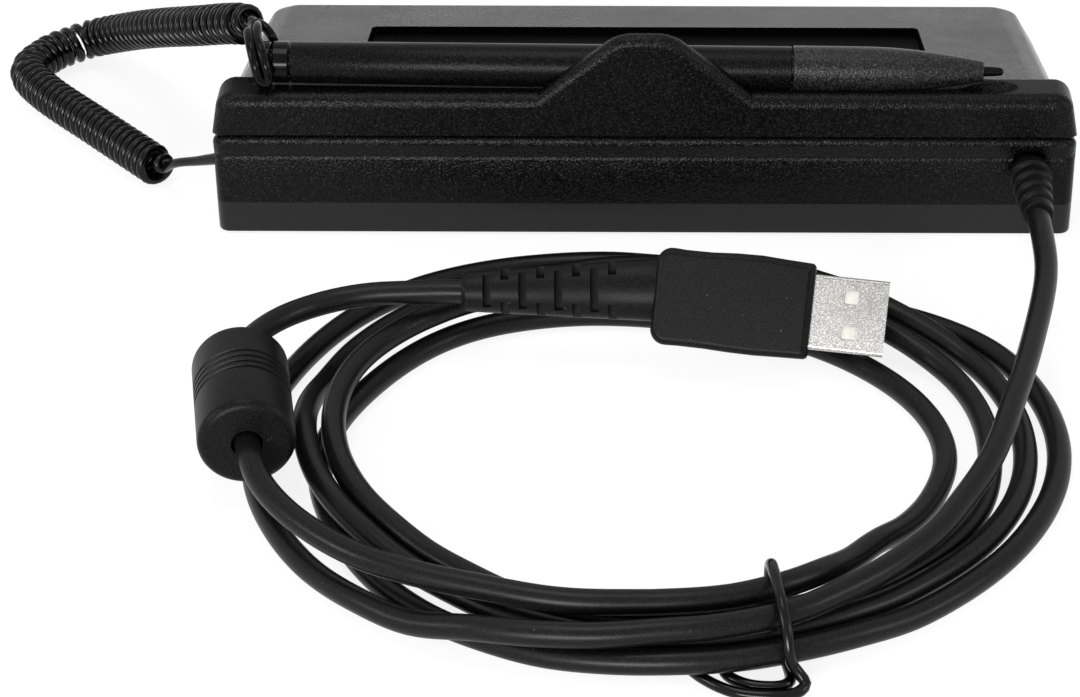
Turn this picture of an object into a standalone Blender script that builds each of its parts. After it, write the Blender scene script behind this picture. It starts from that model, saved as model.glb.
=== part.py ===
"""A counter-top signature pad with a tethered pen and a coiled data cable.

Metres, +Z up. The pad stands on z = 0 with its rear face (the cable side) towards -Y,
its signing slope falling towards +Y, and its centre over the origin. The pen lies in a
groove along the rear ridge and lifts off along +Z.
"""

import math

import bmesh
import bpy
from mathutils import Euler, Matrix, Vector

# Mesh steps and units
MM_PER_M = 1000.0
FULL_TURN = 360.0
MERGE_DISTANCE = 0.00001
ROUND_STEPS = 3
FINE_SIDES = 28
ROUND_SIDES = 24
MEDIUM_SIDES = 20
SMALL_SIDES = 16
SCREW_SIDES = 12
PILOT_SIDES = 8

# Clearances
FIT_GAP = 0.0003
CONTACT_GAP = 0.0001
CUT_OVERRUN = 0.002
JOIN_DEPTH = 0.0006

# Housing, two shells that meet on a plane parallel to the signing slope
HOUSING_WIDTH = 0.146
HOUSING_DEPTH = 0.072
PARTING_HEIGHT = 0.020
FRONT_PARTING_HEIGHT = 0.002048
PARTING_GAP = 0.0004
SIDE_HEIGHT = 0.00565
SIDE_DRAFT = 0.0035
FRONT_DRAFT = 0.0012
EDGE_STRIP = 0.003
TOP_CROWN = 0.001
SHELL_WALL = 0.002
TOP_WALL = 0.0018
FLOOR_THICKNESS = 0.002
FRONT_CORNER = 0.005
REAR_CORNER = 0.002
BASE_EDGE = 0.0008
REAR_LINE_DROP = 0.0043
REAR_LINE_WIDTH = 0.0005
REAR_LINE_DEPTH = 0.0004

# Ridge along the rear edge that carries the pen, and the tab in its middle
RIDGE_HEIGHT = 0.0269
RIDGE_DEPTH = 0.0082
RIDGE_DRAFT = 0.0014
RIDGE_EDGE = 0.0014
TAB_HEIGHT = 0.0110
TAB_BASE_WIDTH = 0.0358
TAB_TOP_WIDTH = 0.0090
TAB_THICKNESS = 0.0022
TAB_EDGE = 0.0012
TAB_ROOT = 0.0045

# Signing window and the sensor stack below it, measured down from the slope
WINDOW_WIDTH = 0.0994
WINDOW_LENGTH = 0.0308
WINDOW_FROM_REAR = 0.020
WINDOW_CORNER = 0.0012
WINDOW_RECESS = 0.0016
OVERLAY_THICKNESS = 0.0010
GASKET_THICKNESS = 0.0005
GASKET_RIM = 0.0030
GASKET_CLEARANCE = 0.0004
PANEL_THICKNESS = 0.0012
BACKING_THICKNESS = 0.0008

# Fasteners, feet and the inside
SCREW_FROM_SIDE = 0.0110
SCREW_FROM_EDGE = 0.0135
SCREW_HEAD_RADIUS = 0.0022
SCREW_HEAD_HEIGHT = 0.0009
SCREW_HEAD_RECESS = 0.0005
SCREW_SHANK_RADIUS = 0.0011
SCREW_SEAT_HEIGHT = 0.0014
SCREW_SEAT_WEB = 0.0017
BOSS_RADIUS = 0.0030
BOSS_BITE = 0.0040
FOOT_RADIUS = 0.0045
FOOT_THICKNESS = 0.0010
FOOT_PROUD = 0.0005
FOOT_FROM_SIDE = 0.0220
FOOT_FROM_EDGE = 0.0095
BOARD_WIDTH = 0.0840
BOARD_LENGTH = 0.0230
BOARD_THICKNESS = 0.0016
BOARD_FROM_REAR = 0.0100
BOARD_HEIGHT = 0.0055
BOARD_HOLE_INSET = 0.0035
STANDOFF_RADIUS = 0.0023
CHIP_SIZE = 0.0100
CHIP_THICKNESS = 0.0014
MEMORY_LENGTH = 0.0060
MEMORY_WIDTH = 0.0040
HEADER_WIDTH = 0.0100
HEADER_LENGTH = 0.0050
HEADER_HEIGHT = 0.0040
RIBBON_WIDTH = 0.0160
RIBBON_THICKNESS = 0.0003
RIB_WIDTH = 0.0900
RIB_THICKNESS = 0.0015

# Pen, lengths along its axis from the middle of the housing, tip to the right
PEN_FROM_REAR = 0.0063
PEN_AXIS_HEIGHT = 0.02946
PEN_TILT = math.radians(0.68)
PEN_CAP_END = -0.0663
PEN_COLLAR_START = -0.0624
PEN_BARREL_START = -0.0594
PEN_GRIP_START = 0.0249
PEN_TAPER_START = 0.0400
PEN_NOSE_END = 0.0569
PEN_NIB_END = 0.0604
PEN_REAR_RADIUS = 0.0035
PEN_FRONT_RADIUS = 0.00375
PEN_GRIP_RADIUS = 0.0039
PEN_NOSE_RADIUS = 0.00175
PEN_NIB_RADIUS = 0.00088
PEN_BORE_RADIUS = 0.0025
PEN_SPIGOT_LENGTH = 0.0090
NIB_TAIL_LENGTH = 0.0110
GROOVE_CLEARANCE = 0.00035
GROOVE_END = 0.0630

# Curly tether
TETHER_WIRE = 0.0016
TETHER_CURL_WIRE = 0.0013
TETHER_CURL_RADIUS = 0.0029
TETHER_CURLS = 60
CURL_POINTS = 9
CURVE_WINDOW = 4
ANCHOR_RADIUS = 0.0018
ANCHOR_LENGTH = 0.0040
TETHER_FROM_REAR = 0.0070
TETHER_HEIGHT = 0.0111

# Data cable, its boot at the housing and its ferrite bead
CABLE_DIAMETER = 0.0038
LOOP_POINTS = 24
CURVE_STEPS = 16
BOOT_FROM_SIDE = 0.0079
BOOT_HEIGHT = 0.0136
BOOT_DROOP = math.radians(1.5)
BOOT_LENGTH = 0.0150
BOOT_ROOT_RADIUS = 0.0037
BOOT_TIP_RADIUS = 0.0026
BOOT_RIBS = 5
BOOT_RIB_DEPTH = 0.0008
BOOT_FLANGE_RADIUS = 0.0040
BOOT_FLANGE_THICKNESS = 0.0018
INNER_CABLE_SHARE = 0.66
NOTCH_WIDTH = 0.0053
NOTCH_TOP_WIDTH = 0.0032
NOTCH_TOP = 0.0179
FERRITE_RADIUS = 0.0074
FERRITE_LENGTH = 0.0220
FERRITE_BORE_ROOM = 0.0005
FERRITE_EDGE = 0.0012
FERRITE_GROOVES = 4
FERRITE_GROOVE_PITCH = 0.0015
FERRITE_GROOVE_DEPTH = 0.0005
FERRITE_WALL = 0.0018
FERRITE_STRAIGHT_SHARE = 0.64
FERRITE_CENTRE = Vector((-0.0607, -0.1048, 0.0116))
FERRITE_YAW = math.radians(-9)

# Plug, tilted so that its broad face leans back on the cable behind it
PLUG_CENTRE = Vector((0.0142, -0.0756, 0.0114))
PLUG_LEAN = math.radians(33)
PLUG_PITCH = math.radians(3.1)
PLUG_YAW = math.radians(6.3)
PLUG_LENGTH = 0.0252
PLUG_WIDTH = 0.0156
PLUG_THICKNESS = 0.0080
PLUG_CORNER = 0.0024
PLUG_EDGE = 0.0008
PLUG_BOOT_TIP = Vector((-0.0290, -0.0733, 0.0120))
PLUG_BOOT_TIP_RADIUS = 0.0030
PLUG_BOOT_ROOT_RADIUS = 0.0052
PLUG_BOOT_SLOTS = 4
PLUG_SLOT_PITCH = 0.0057
PLUG_SLOT_START = 0.0034
PLUG_SLOT_WIDTH = 0.0013
SIDE_SLOT_ROOT_SHARE = 0.62
SIDE_SLOT_HALF_SHARE = 0.74
EDGE_SLOT_ROOT_SHARE = 0.56
EDGE_SLOT_HALF_SHARE = 1.2
SHELL_WIDTH = 0.0120
SHELL_THICKNESS = 0.0045
SHELL_REACH = 0.0118
SHELL_SEAT = 0.0030
SHELL_METAL = 0.0003
SHELL_WINDOW = 0.0022
SHELL_WINDOW_SPACING = 0.0056
SHELL_WINDOW_REACH = 0.0060
TONGUE_THICKNESS = 0.0018
TONGUE_SETBACK = 0.0008
CONTACT_WIDTH = 0.0010
CONTACT_LENGTH = 0.0070
CONTACT_THICKNESS = 0.0002
CONTACT_SPACING = 0.0024
CONTACTS = 4

# Wire tie round the bundled strands
TIE_WIRE = 0.0017

# Places that follow from the housing's size
REAR_Y = -HOUSING_DEPTH / 2
FRONT_Y = HOUSING_DEPTH / 2
HALF_WIDTH = HOUSING_WIDTH / 2
TOP_SLOPE = math.atan((PARTING_HEIGHT - FRONT_PARTING_HEIGHT) / HOUSING_DEPTH)
SCREW_X = HALF_WIDTH - SCREW_FROM_SIDE
FOOT_X = HALF_WIDTH - FOOT_FROM_SIDE
BOOT_X = HALF_WIDTH - BOOT_FROM_SIDE
TOP_AT_REAR = PARTING_HEIGHT + SIDE_HEIGHT + TOP_CROWN

# The coil of cable: its centre, and at each of these angles, from the tied bundle in front
# round the coil, the distance from that centre and the height of each turn's strand
COIL_CENTRE = Vector((0.0040, -0.1040, 0.0))
COIL_STATIONS = (
    (-90, ((0.0452, 0.0081), (0.0533, 0.0038), (0.0446, 0.0038), (0.0489, 0.0038))),
    (-68, ((0.0442, 0.0081), (0.0533, 0.0038), (0.0447, 0.0038), (0.0490, 0.0038))),
    (-45, ((0.0397, 0.0046), (0.0537, 0.0019), (0.0452, 0.0019), (0.0495, 0.0028))),
    (-22, ((0.0406, 0.0019), (0.0568, 0.0019), (0.0482, 0.0019), (0.0525, 0.0025))),
    (0, ((0.0425, 0.0019), (0.0599, 0.0019), (0.0492, 0.0019), (0.0547, 0.0019))),
    (22, ((0.0413, 0.0019), (0.0604, 0.0019), (0.0502, 0.0019), (0.0554, 0.0019))),
    (34, ((0.0401, 0.0019), (0.0589, 0.0019), (0.0490, 0.0028), (0.0544, 0.0023))),
    (45, ((0.0393, 0.0019), (0.0552, 0.0019), (0.0460, 0.0056), (0.0504, 0.0062))),
    (65, ((0.0384, 0.0019), (0.0502, 0.0019), (0.0456, 0.0063), (0.0500, 0.0063))),
    (90, ((0.0390, 0.0019), (0.0463, 0.0019), (0.0478, 0.0063), (0.0540, 0.0026))),
    (115, ((0.0436, 0.0019), (0.0474, 0.0048), (0.0546, 0.0032), (0.0602, 0.0019))),
    (135, ((0.0481, 0.0019), (0.0497, 0.0063), (0.0579, 0.0019), (0.0640, 0.0019))),
    (158, ((0.0506, 0.0019), (0.0526, 0.0063), (0.0580, 0.0019), (0.0642, 0.0019))),
    (180, ((0.0534, 0.0019), (0.0515, 0.0063), (0.0559, 0.0062), (0.0640, 0.0019))),
    (205, ((0.0533, 0.0019), (0.0482, 0.0060), (0.0525, 0.0063), (0.0611, 0.0019))),
    (225, ((0.0536, 0.0019), (0.0454, 0.0046), (0.0497, 0.0046), (0.0584, 0.0030))),
    (247, ((0.0535, 0.0026), (0.0447, 0.0038), (0.0490, 0.0038), (0.0553, 0.0072))),
)
COIL_TURNS = 4
COIL_END = (0.0511, 0.0078)

# Routes of the cable's free stretches, from the boot to the coil and from the coil
# through the ferrite bead to the plug
LEAD_ROUTE = (
    (0.0653, -0.0590, 0.0127),
    (0.0651, -0.0660, 0.0121),
    (0.0639, -0.0728, 0.0116),
    (0.0617, -0.0822, 0.0110),
    (0.0593, -0.0917, 0.0106),
    (0.0566, -0.1009, 0.0102),
    (0.0531, -0.1123, 0.0092),
    (0.0500, -0.1190, 0.0085),
    (0.0461, -0.1258, 0.0080),
    (0.0429, -0.1316, 0.0078),
    (0.0383, -0.1368, 0.0078),
    (0.0339, -0.1417, 0.0078),
    (0.0280, -0.1462, 0.0078),
    (0.0205, -0.1514, 0.0078),
)
TAIL_ROUTE_TO_BEAD = (
    (-0.0116, -0.1496, 0.0085),
    (-0.0230, -0.1466, 0.0087),
    (-0.0325, -0.1437, 0.0088),
    (-0.0416, -0.1393, 0.0090),
    (-0.0496, -0.1328, 0.0096),
    (-0.0546, -0.1270, 0.0103),
    (-0.0573, -0.1223, 0.0110),
)
TAIL_ROUTE_TO_PLUG = (
    (-0.0620, -0.0868, 0.0112),
    (-0.0601, -0.0824, 0.0110),
    (-0.0573, -0.0791, 0.0109),
    (-0.0531, -0.0757, 0.0108),
    (-0.0485, -0.0735, 0.0109),
    (-0.0437, -0.0726, 0.0112),
    (-0.0388, -0.0728, 0.0115),
)
TETHER_CURL_ROUTE = (
    (-0.0668, -0.0213, 0.0330),
    (-0.0720, -0.0135, 0.0290),
    (-0.0777, -0.0055, 0.0245),
    (-0.0871, 0.0101, 0.0160),
    (-0.0947, 0.0213, 0.0095),
    (-0.1027, 0.0273, 0.0050),
    (-0.1072, 0.0259, 0.0041),
    (-0.1109, 0.0227, 0.0038),
    (-0.1134, 0.0158, 0.0038),
    (-0.1090, 0.0077, 0.0038),
    (-0.0976, -0.0053, 0.0038),
    (-0.0866, -0.0179, 0.0038),
    (-0.0856, -0.0190, 0.0038),
)
TETHER_LEAD_ROUTE = (
    (-0.0815, -0.0226, 0.0065),
    (-0.0770, -0.0260, 0.0089),
)
HITCH_ROUTE = (
    (-0.0626, -0.0249, 0.0302),
    (-0.0629, -0.0252, 0.0324),
    (-0.0641, -0.0243, 0.0338),
    (-0.0656, -0.0231, 0.0340),
    (-0.0666, -0.0243, 0.0341),
    (-0.0669, -0.0262, 0.0344),
    (-0.0669, -0.0290, 0.0350),
    (-0.0666, -0.0322, 0.0341),
    (-0.0660, -0.0341, 0.0319),
    (-0.0653, -0.0344, 0.0296),
    (-0.0649, -0.0339, 0.0282),
)
TIE_ROUTE = (
    (0.0066, -0.1552, 0.00097),
    (0.0081, -0.1570, 0.00097),
    (0.0104, -0.1590, 0.00097),
    (0.0129, -0.1604, 0.00097),
    (0.0155, -0.1610, 0.00097),
    (0.0185, -0.1611, 0.00097),
    (0.0214, -0.1604, 0.0010),
    (0.0226, -0.1590, 0.0014),
    (0.0218, -0.1581, 0.0024),
    (0.0207, -0.1576, 0.0038),
    (0.0203, -0.1574, 0.0056),
    (0.0200, -0.1561, 0.0080),
    (0.0196, -0.1543, 0.0097),
    (0.0192, -0.1521, 0.0108),
    (0.0188, -0.1490, 0.0110),
    (0.0184, -0.1460, 0.0111),
    (0.0181, -0.1432, 0.0104),
    (0.0180, -0.1422, 0.0082),
    (0.0181, -0.1424, 0.0037),
    (0.0184, -0.1433, 0.0016),
    (0.0187, -0.1455, 0.00097),
    (0.0193, -0.1500, 0.00097),
    (0.0203, -0.1545, 0.00097),
    (0.0206, -0.1574, 0.0010),
    (0.0195, -0.1589, 0.0010),
    (0.0170, -0.1591, 0.00097),
    (0.0145, -0.1586, 0.00097),
    (0.0123, -0.1572, 0.00097),
    (0.0112, -0.1555, 0.00097),
)


def material(name, colour, roughness, metallic=0.0):
    """A Principled material of one colour."""
    made = bpy.data.materials.new(name)
    made.use_nodes = True
    shader = made.node_tree.nodes["Principled BSDF"]
    shader.inputs["Base Color"].default_value = (*colour, 1.0)
    shader.inputs["Roughness"].default_value = roughness
    shader.inputs["Metallic"].default_value = metallic
    made.diffuse_color = (*colour, 1.0)
    return made


def clear_scene():
    for obj in list(bpy.data.objects):
        bpy.data.objects.remove(obj)


def new_collection(name, hidden):
    made = bpy.data.collections.new(name)
    made.hide_render = hidden
    bpy.context.scene.collection.children.link(made)
    return made


def place(obj, collection, finish=None, parent=None):
    """Links an object, gives it its finish and its parent, and marks it when it is a cutter."""
    collection.objects.link(obj)
    if finish:
        obj.data.materials.append(finish)
    if parent:
        obj.parent = parent
    if collection.hide_render:
        obj.hide_render = True
        obj.display_type = "WIRE"
    return obj


def object_from(name, bm, collection, finish=None, parent=None, smooth_below=math.radians(35)):
    bmesh.ops.recalc_face_normals(bm, faces=bm.faces)
    mesh = bpy.data.meshes.new(name)
    bm.to_mesh(mesh)
    bm.free()
    mesh.shade_smooth()
    mesh.set_sharp_from_angle(angle=smooth_below)
    return place(bpy.data.objects.new(name, mesh), collection, finish, parent)


def add_box(bm, low, high):
    """A box between two corners. Its vertices are returned."""
    low, high = Vector(low), Vector(high)
    made = bmesh.ops.create_cube(bm, size=1)["verts"]
    bmesh.ops.scale(bm, vec=high - low, verts=made)
    bmesh.ops.translate(bm, vec=(low + high) / 2, verts=made)
    return made


def add_cylinder(bm, radius, start, end, sides=ROUND_SIDES):
    """A cylinder from one point to another. Its vertices are returned."""
    start, end = Vector(start), Vector(end)
    run = end - start
    turn = run.to_track_quat("Z", "Y").to_matrix().to_4x4()
    made = bmesh.ops.create_cone(
        bm,
        cap_ends=True,
        segments=sides,
        radius1=radius,
        radius2=radius,
        depth=run.length,
        matrix=Matrix.Translation((start + end) / 2) @ turn,
    )
    return made["verts"]


def edges_where(bm, keep, verts=None):
    """The edges whose two ends satisfy keep."""
    wanted = set(verts) if verts else None
    return [
        edge
        for edge in bm.edges
        if keep(edge.verts[0].co, edge.verts[1].co)
        and (wanted is None or (edge.verts[0] in wanted and edge.verts[1] in wanted))
    ]


def is_upright(a, b):
    return (a - b).xy.length < abs(a.z - b.z) / 2


def round_edges(bm, edges, radius, segments):
    bmesh.ops.bevel(
        bm, geom=edges, offset=radius, segments=segments, profile=0.5, affect="EDGES", material=-1
    )


def drop_at(y):
    """How far the signing slope has fallen at this distance along the housing."""
    return math.tan(TOP_SLOPE) * (y - REAR_Y)


def shear_to_slope(verts):
    for vert in verts:
        vert.co.z -= drop_at(vert.co.y)


def turned(name, profile, collection, finish=None, parent=None, sides=ROUND_SIDES):
    """A turned body about local Z. The profile runs down the outer side, as (radius, height)."""
    mesh = bpy.data.meshes.new(name)
    points = [(radius, 0.0, height) for radius, height in profile]
    mesh.from_pydata(points, [(i, i + 1) for i in range(len(points) - 1)], [])
    obj = place(bpy.data.objects.new(name, mesh), collection, finish, parent)
    screw = obj.modifiers.new("turn", "SCREW")
    screw.axis = "Z"
    screw.steps = sides
    screw.render_steps = sides
    screw.use_merge_vertices = True
    screw.merge_threshold = MERGE_DISTANCE
    screw.use_smooth_shade = True
    return obj


def turned_ring(name, profile, collection, finish=None, parent=None, sides=ROUND_SIDES):
    """A turned body with a bore: the profile closes on itself."""
    obj = turned(name, list(profile) + [profile[0]], collection, finish, parent, sides)
    weld = obj.modifiers.new("close", "WELD")
    weld.merge_threshold = MERGE_DISTANCE
    return obj


def combine(obj, other, operation):
    modifier = obj.modifiers.new(other.name, "BOOLEAN")
    modifier.operation = operation
    modifier.object = other
    modifier.solver = "EXACT"


def seat(name, place_at, turn, collection):
    """An empty that carries pieces lying at an angle."""
    empty = bpy.data.objects.new(name, None)
    empty.location = place_at
    empty.rotation_euler = turn
    collection.objects.link(empty)
    return empty


def curve_through(points, steps):
    """For each stretch between two of the given points, points of a smooth curve through them all."""
    points = [Vector(point) for point in points]
    ends = [points[0] * 2 - points[1]] + points + [points[-1] * 2 - points[-2]]
    stretches = []
    for a, b, c, d in zip(ends, ends[1:], ends[2:], ends[3:]):
        bend, twist = a * 2 - b * 5 + c * 4 - d, b * 3 - a - c * 3 + d
        shares = [step / steps for step in range(steps + 1)]
        stretches.append([b + ((c - a) * t + bend * t**2 + twist * t**3) / 2 for t in shares])
    return stretches


def joined(stretches):
    """The stretches as one line, each meeting point kept once."""
    return [point for stretch in stretches for point in stretch[:-1]] + [stretches[-1][-1]]


def smooth_route(points, spacing):
    """Points about this far apart along a smooth curve through the given ones."""
    return evenly_spaced(joined(curve_through(points, CURVE_STEPS)), spacing)


def square_ended_route(points, spacing):
    """The same, with its first and last stretch kept straight, so that its ends meet squarely."""
    middle = joined(curve_through(points, CURVE_STEPS)[1:-1])
    return [Vector(points[0])] + evenly_spaced(middle, spacing) + [Vector(points[-1])]


def evenly_spaced(fine, spacing):
    """The same line with its points at equal distances."""
    lengths = [0.0]
    for a, b in zip(fine, fine[1:]):
        lengths.append(lengths[-1] + (b - a).length)
    count = max(2, round(lengths[-1] / spacing))
    made, index = [], 0
    for step in range(count + 1):
        target = lengths[-1] * step / count
        while index < len(fine) - 2 and lengths[index + 1] < target:
            index += 1
        share = (target - lengths[index]) / (lengths[index + 1] - lengths[index])
        made.append(fine[index].lerp(fine[index + 1], share))
    return made


def tube(name, points, diameter, collection, finish, bevel_resolution=2):
    """A round wire or cable along the points, with closed ends."""
    curve = bpy.data.curves.new(name, "CURVE")
    curve.dimensions = "3D"
    curve.bevel_depth = diameter / 2
    curve.bevel_resolution = bevel_resolution
    curve.use_fill_caps = True
    spline = curve.splines.new("POLY")
    spline.points.add(len(points) - 1)
    for spot, point in zip(spline.points, points):
        spot.co = (*point, 1.0)
    return place(bpy.data.objects.new(name, curve), collection, finish)


def route_length(points):
    return sum((b - a).length for a, b in zip(points, points[1:]))


def least_gap(points, diameter):
    """The least distance between a tube's surface and itself, leaving out its near neighbours."""
    runs = [0.0]
    for a, b in zip(points, points[1:]):
        runs.append(runs[-1] + (b - a).length)
    least = float("inf")
    for i, a in enumerate(points):
        for j in range(i + 1, len(points)):
            if runs[j] - runs[i] > diameter * 3:
                least = min(least, (points[j] - a).length)
    return least - diameter


def finishes():
    return {
        "case": material("case_plastic", (0.020, 0.020, 0.021), 0.50),
        "overlay": material("overlay_film", (0.012, 0.012, 0.013), 0.35),
        "foam": material("gasket_foam", (0.03, 0.03, 0.03), 0.9),
        "panel": material("sensor_glass", (0.05, 0.07, 0.08), 0.2),
        "steel": material("steel", (0.55, 0.56, 0.58), 0.35, 1.0),
        "board": material("board_laminate", (0.02, 0.16, 0.07), 0.5),
        "chip": material("chip_resin", (0.02, 0.02, 0.02), 0.6),
        "socket": material("socket_plastic", (0.75, 0.74, 0.68), 0.5),
        "ribbon": material("ribbon_film", (0.55, 0.27, 0.05), 0.4),
        "rubber": material("foot_rubber", (0.03, 0.03, 0.03), 0.85),
        "boot": material("cable_boot", (0.015, 0.015, 0.015), 0.45),
        "cable": material("cable_jacket", (0.018, 0.018, 0.018), 0.45),
        "tether": material("tether_cord", (0.01, 0.01, 0.01), 0.2),
        "barrel": material("pen_barrel", (0.02, 0.02, 0.022), 0.45),
        "grip": material("pen_grip", (0.02, 0.02, 0.022), 0.6),
        "gloss": material("pen_gloss", (0.01, 0.01, 0.01), 0.15),
        "ferrite": material("ferrite", (0.08, 0.08, 0.085), 0.6),
        "nickel": material("plug_nickel", (0.62, 0.60, 0.57), 0.35, 1.0),
        "insert": material("plug_insert", (0.85, 0.85, 0.82), 0.5),
        "gold": material("contact_gold", (0.80, 0.60, 0.25), 0.3, 1.0),
    }


def drafted_slab(bm, half_width, back_y, front_y, bottom, height, corner, crown, strip):
    """A block with round upright corners whose sides lean in, and a crowned top."""
    verts = add_box(bm, (-half_width, back_y, bottom), (half_width, front_y, bottom + height))
    upright = edges_where(bm, is_upright, verts)
    round_edges(bm, upright, corner, ROUND_STEPS)
    top = bottom + height
    for vert in bm.verts:
        if abs(vert.co.z - top) < FIT_GAP:
            vert.co.x *= (half_width - SIDE_DRAFT) / half_width
            if vert.co.y > (back_y + front_y) / 2:
                vert.co.y -= FRONT_DRAFT
    if crown:
        roof = max(bm.faces, key=lambda face: face.calc_center_median().z)
        bmesh.ops.inset_region(bm, faces=[roof], thickness=strip, depth=0.0)
        bmesh.ops.translate(bm, vec=(0.0, 0.0, crown), verts=roof.verts)


def screw_places():
    """Where the four case screws stand, rear pair first."""
    rear = REAR_Y + SCREW_FROM_EDGE
    front = FRONT_Y - SCREW_FROM_EDGE
    return [(x, y) for y in (rear, front) for x in (-SCREW_X, SCREW_X)]


def foot_places():
    rear = REAR_Y + FOOT_FROM_EDGE
    front = FRONT_Y - FOOT_FROM_EDGE
    return [(x, y) for y in (rear, front) for x in (-FOOT_X, FOOT_X)]


def board_hole_places():
    low_y = REAR_Y + BOARD_FROM_REAR + BOARD_HOLE_INSET
    high_y = REAR_Y + BOARD_FROM_REAR + BOARD_LENGTH - BOARD_HOLE_INSET
    x = BOARD_WIDTH / 2 - BOARD_HOLE_INSET
    return [(-x, low_y), (x, low_y), (-x, high_y), (x, high_y)]


def floor_top():
    return FOOT_PROUD + FLOOR_THICKNESS


def ceiling_at(y):
    """Underside of the top wall."""
    return TOP_AT_REAR - TOP_WALL - drop_at(y)


def seat_top():
    """Top of the raised seat round a case screw, on the floor of the lower shell."""
    return floor_top() + SCREW_SEAT_HEIGHT


def make_upper_shell(parts, cutters, finish, pen):
    bm = bmesh.new()
    drafted_slab(
        bm,
        HALF_WIDTH - RIDGE_EDGE / 6,
        REAR_Y + RIDGE_EDGE,
        FRONT_Y,
        PARTING_HEIGHT + PARTING_GAP,
        SIDE_HEIGHT - PARTING_GAP,
        FRONT_CORNER,
        TOP_CROWN,
        EDGE_STRIP,
    )
    shear_to_slope(bm.verts)
    shell = object_from("upper_shell", bm, parts, finish)
    combine(shell, make_ridge(cutters), "UNION")
    combine(shell, make_tab(cutters), "UNION")
    combine(shell, make_upper_cavity(cutters), "DIFFERENCE")
    combine(shell, make_upper_bosses(cutters), "UNION")
    combine(shell, make_boss_pilots(cutters), "DIFFERENCE")
    combine(shell, make_window_cut(cutters), "DIFFERENCE")
    combine(shell, make_groove_cut(cutters, pen), "DIFFERENCE")
    return shell


def make_ridge(cutters):
    """The flat-topped ridge along the rear edge, with its rear face upright."""
    bm = bmesh.new()
    bottom = PARTING_HEIGHT + PARTING_GAP
    add_box(bm, (-HALF_WIDTH, REAR_Y, bottom), (HALF_WIDTH, REAR_Y + RIDGE_DEPTH, RIDGE_HEIGHT))
    for vert in bm.verts:
        if vert.co.z > bottom + FIT_GAP:
            vert.co.x *= (HALF_WIDTH - RIDGE_DRAFT) / HALF_WIDTH
        else:
            vert.co.z -= drop_at(vert.co.y)
    middle = (bottom + RIDGE_HEIGHT) / 2
    top_edges = edges_where(bm, lambda a, b: min(a.z, b.z) > middle)
    rear = REAR_Y + FIT_GAP
    rear_uprights = edges_where(bm, lambda a, b: is_upright(a, b) and max(a.y, b.y) < rear)
    round_edges(bm, top_edges + rear_uprights, RIDGE_EDGE, ROUND_STEPS)
    return object_from("ridge", bm, cutters)


def make_tab(cutters):
    """The trapezoid tab that hides the middle of the pen, flush with the rear face."""
    bm = bmesh.new()
    slope = (TAB_BASE_WIDTH - TAB_TOP_WIDTH) / TAB_HEIGHT
    low_half = (TAB_BASE_WIDTH + slope * TAB_ROOT) / 2
    low = RIDGE_HEIGHT - TAB_ROOT
    high = RIDGE_HEIGHT + TAB_HEIGHT
    add_box(bm, (-low_half, REAR_Y, low), (low_half, REAR_Y + TAB_THICKNESS, high))
    for vert in bm.verts:
        if vert.co.z > (low + high) / 2:
            vert.co.x *= TAB_TOP_WIDTH / 2 / low_half
    rear = REAR_Y + FIT_GAP
    outline = edges_where(bm, lambda a, b: max(a.z, b.z) > high - FIT_GAP and max(a.y, b.y) < rear)
    corners = edges_where(bm, lambda a, b: min(a.z, b.z) > high - FIT_GAP and abs(a.y - b.y) > FIT_GAP)
    round_edges(bm, outline + corners, TAB_EDGE, 2)
    return object_from("tab", bm, cutters)


def make_upper_cavity(cutters):
    bm = bmesh.new()
    low = PARTING_HEIGHT - CUT_OVERRUN
    drafted_slab(
        bm,
        HALF_WIDTH - SHELL_WALL,
        REAR_Y + SHELL_WALL,
        FRONT_Y - SHELL_WALL,
        low,
        TOP_AT_REAR - TOP_WALL - low,
        FRONT_CORNER - SHELL_WALL,
        0.0,
        0.0,
    )
    shear_to_slope(bm.verts)
    return object_from("upper_cavity", bm, cutters)


def make_upper_bosses(cutters):
    """Posts that hang from the top wall and take the case screws."""
    bm = bmesh.new()
    for x, y in screw_places():
        foot = (x, y, seat_top() + FIT_GAP)
        add_cylinder(bm, BOSS_RADIUS, foot, (x, y, ceiling_at(y) + TOP_WALL / 2), SMALL_SIDES)
    return object_from("upper_bosses", bm, cutters)


def make_boss_pilots(cutters):
    bm = bmesh.new()
    for x, y in screw_places():
        low = (x, y, seat_top() - CUT_OVERRUN)
        high = (x, y, seat_top() + BOSS_BITE + FIT_GAP * 2)
        add_cylinder(bm, SCREW_SHANK_RADIUS + FIT_GAP, low, high, SMALL_SIDES)
    return object_from("boss_pilots", bm, cutters)


def make_window_cut(cutters):
    bm = bmesh.new()
    back = REAR_Y + WINDOW_FROM_REAR
    low = ceiling_at(back + WINDOW_LENGTH) - CUT_OVERRUN
    add_box(
        bm,
        (-WINDOW_WIDTH / 2, back, low),
        (WINDOW_WIDTH / 2, back + WINDOW_LENGTH, TOP_AT_REAR + CUT_OVERRUN),
    )
    round_edges(bm, edges_where(bm, is_upright), WINDOW_CORNER, 2)
    return object_from("window_cut", bm, cutters)


def make_groove_cut(cutters, pen):
    """The pen's bed: the pen's own outline with room round it."""
    room = GROOVE_CLEARANCE
    profile = [
        (0.0, GROOVE_END),
        (PEN_NOSE_RADIUS, GROOVE_END - PEN_NIB_RADIUS),
        (PEN_NOSE_RADIUS + room * 3, PEN_NOSE_END + room),
        (PEN_GRIP_RADIUS + room, PEN_TAPER_START),
        (PEN_GRIP_RADIUS + room, PEN_GRIP_START - room),
        (PEN_REAR_RADIUS + room, PEN_BARREL_START),
        (PEN_REAR_RADIUS + room, PEN_CAP_END - room),
        (0.0, PEN_CAP_END - room * 2),
    ]
    return turned("groove_cut", profile, cutters, parent=pen, sides=FINE_SIDES)


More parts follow.
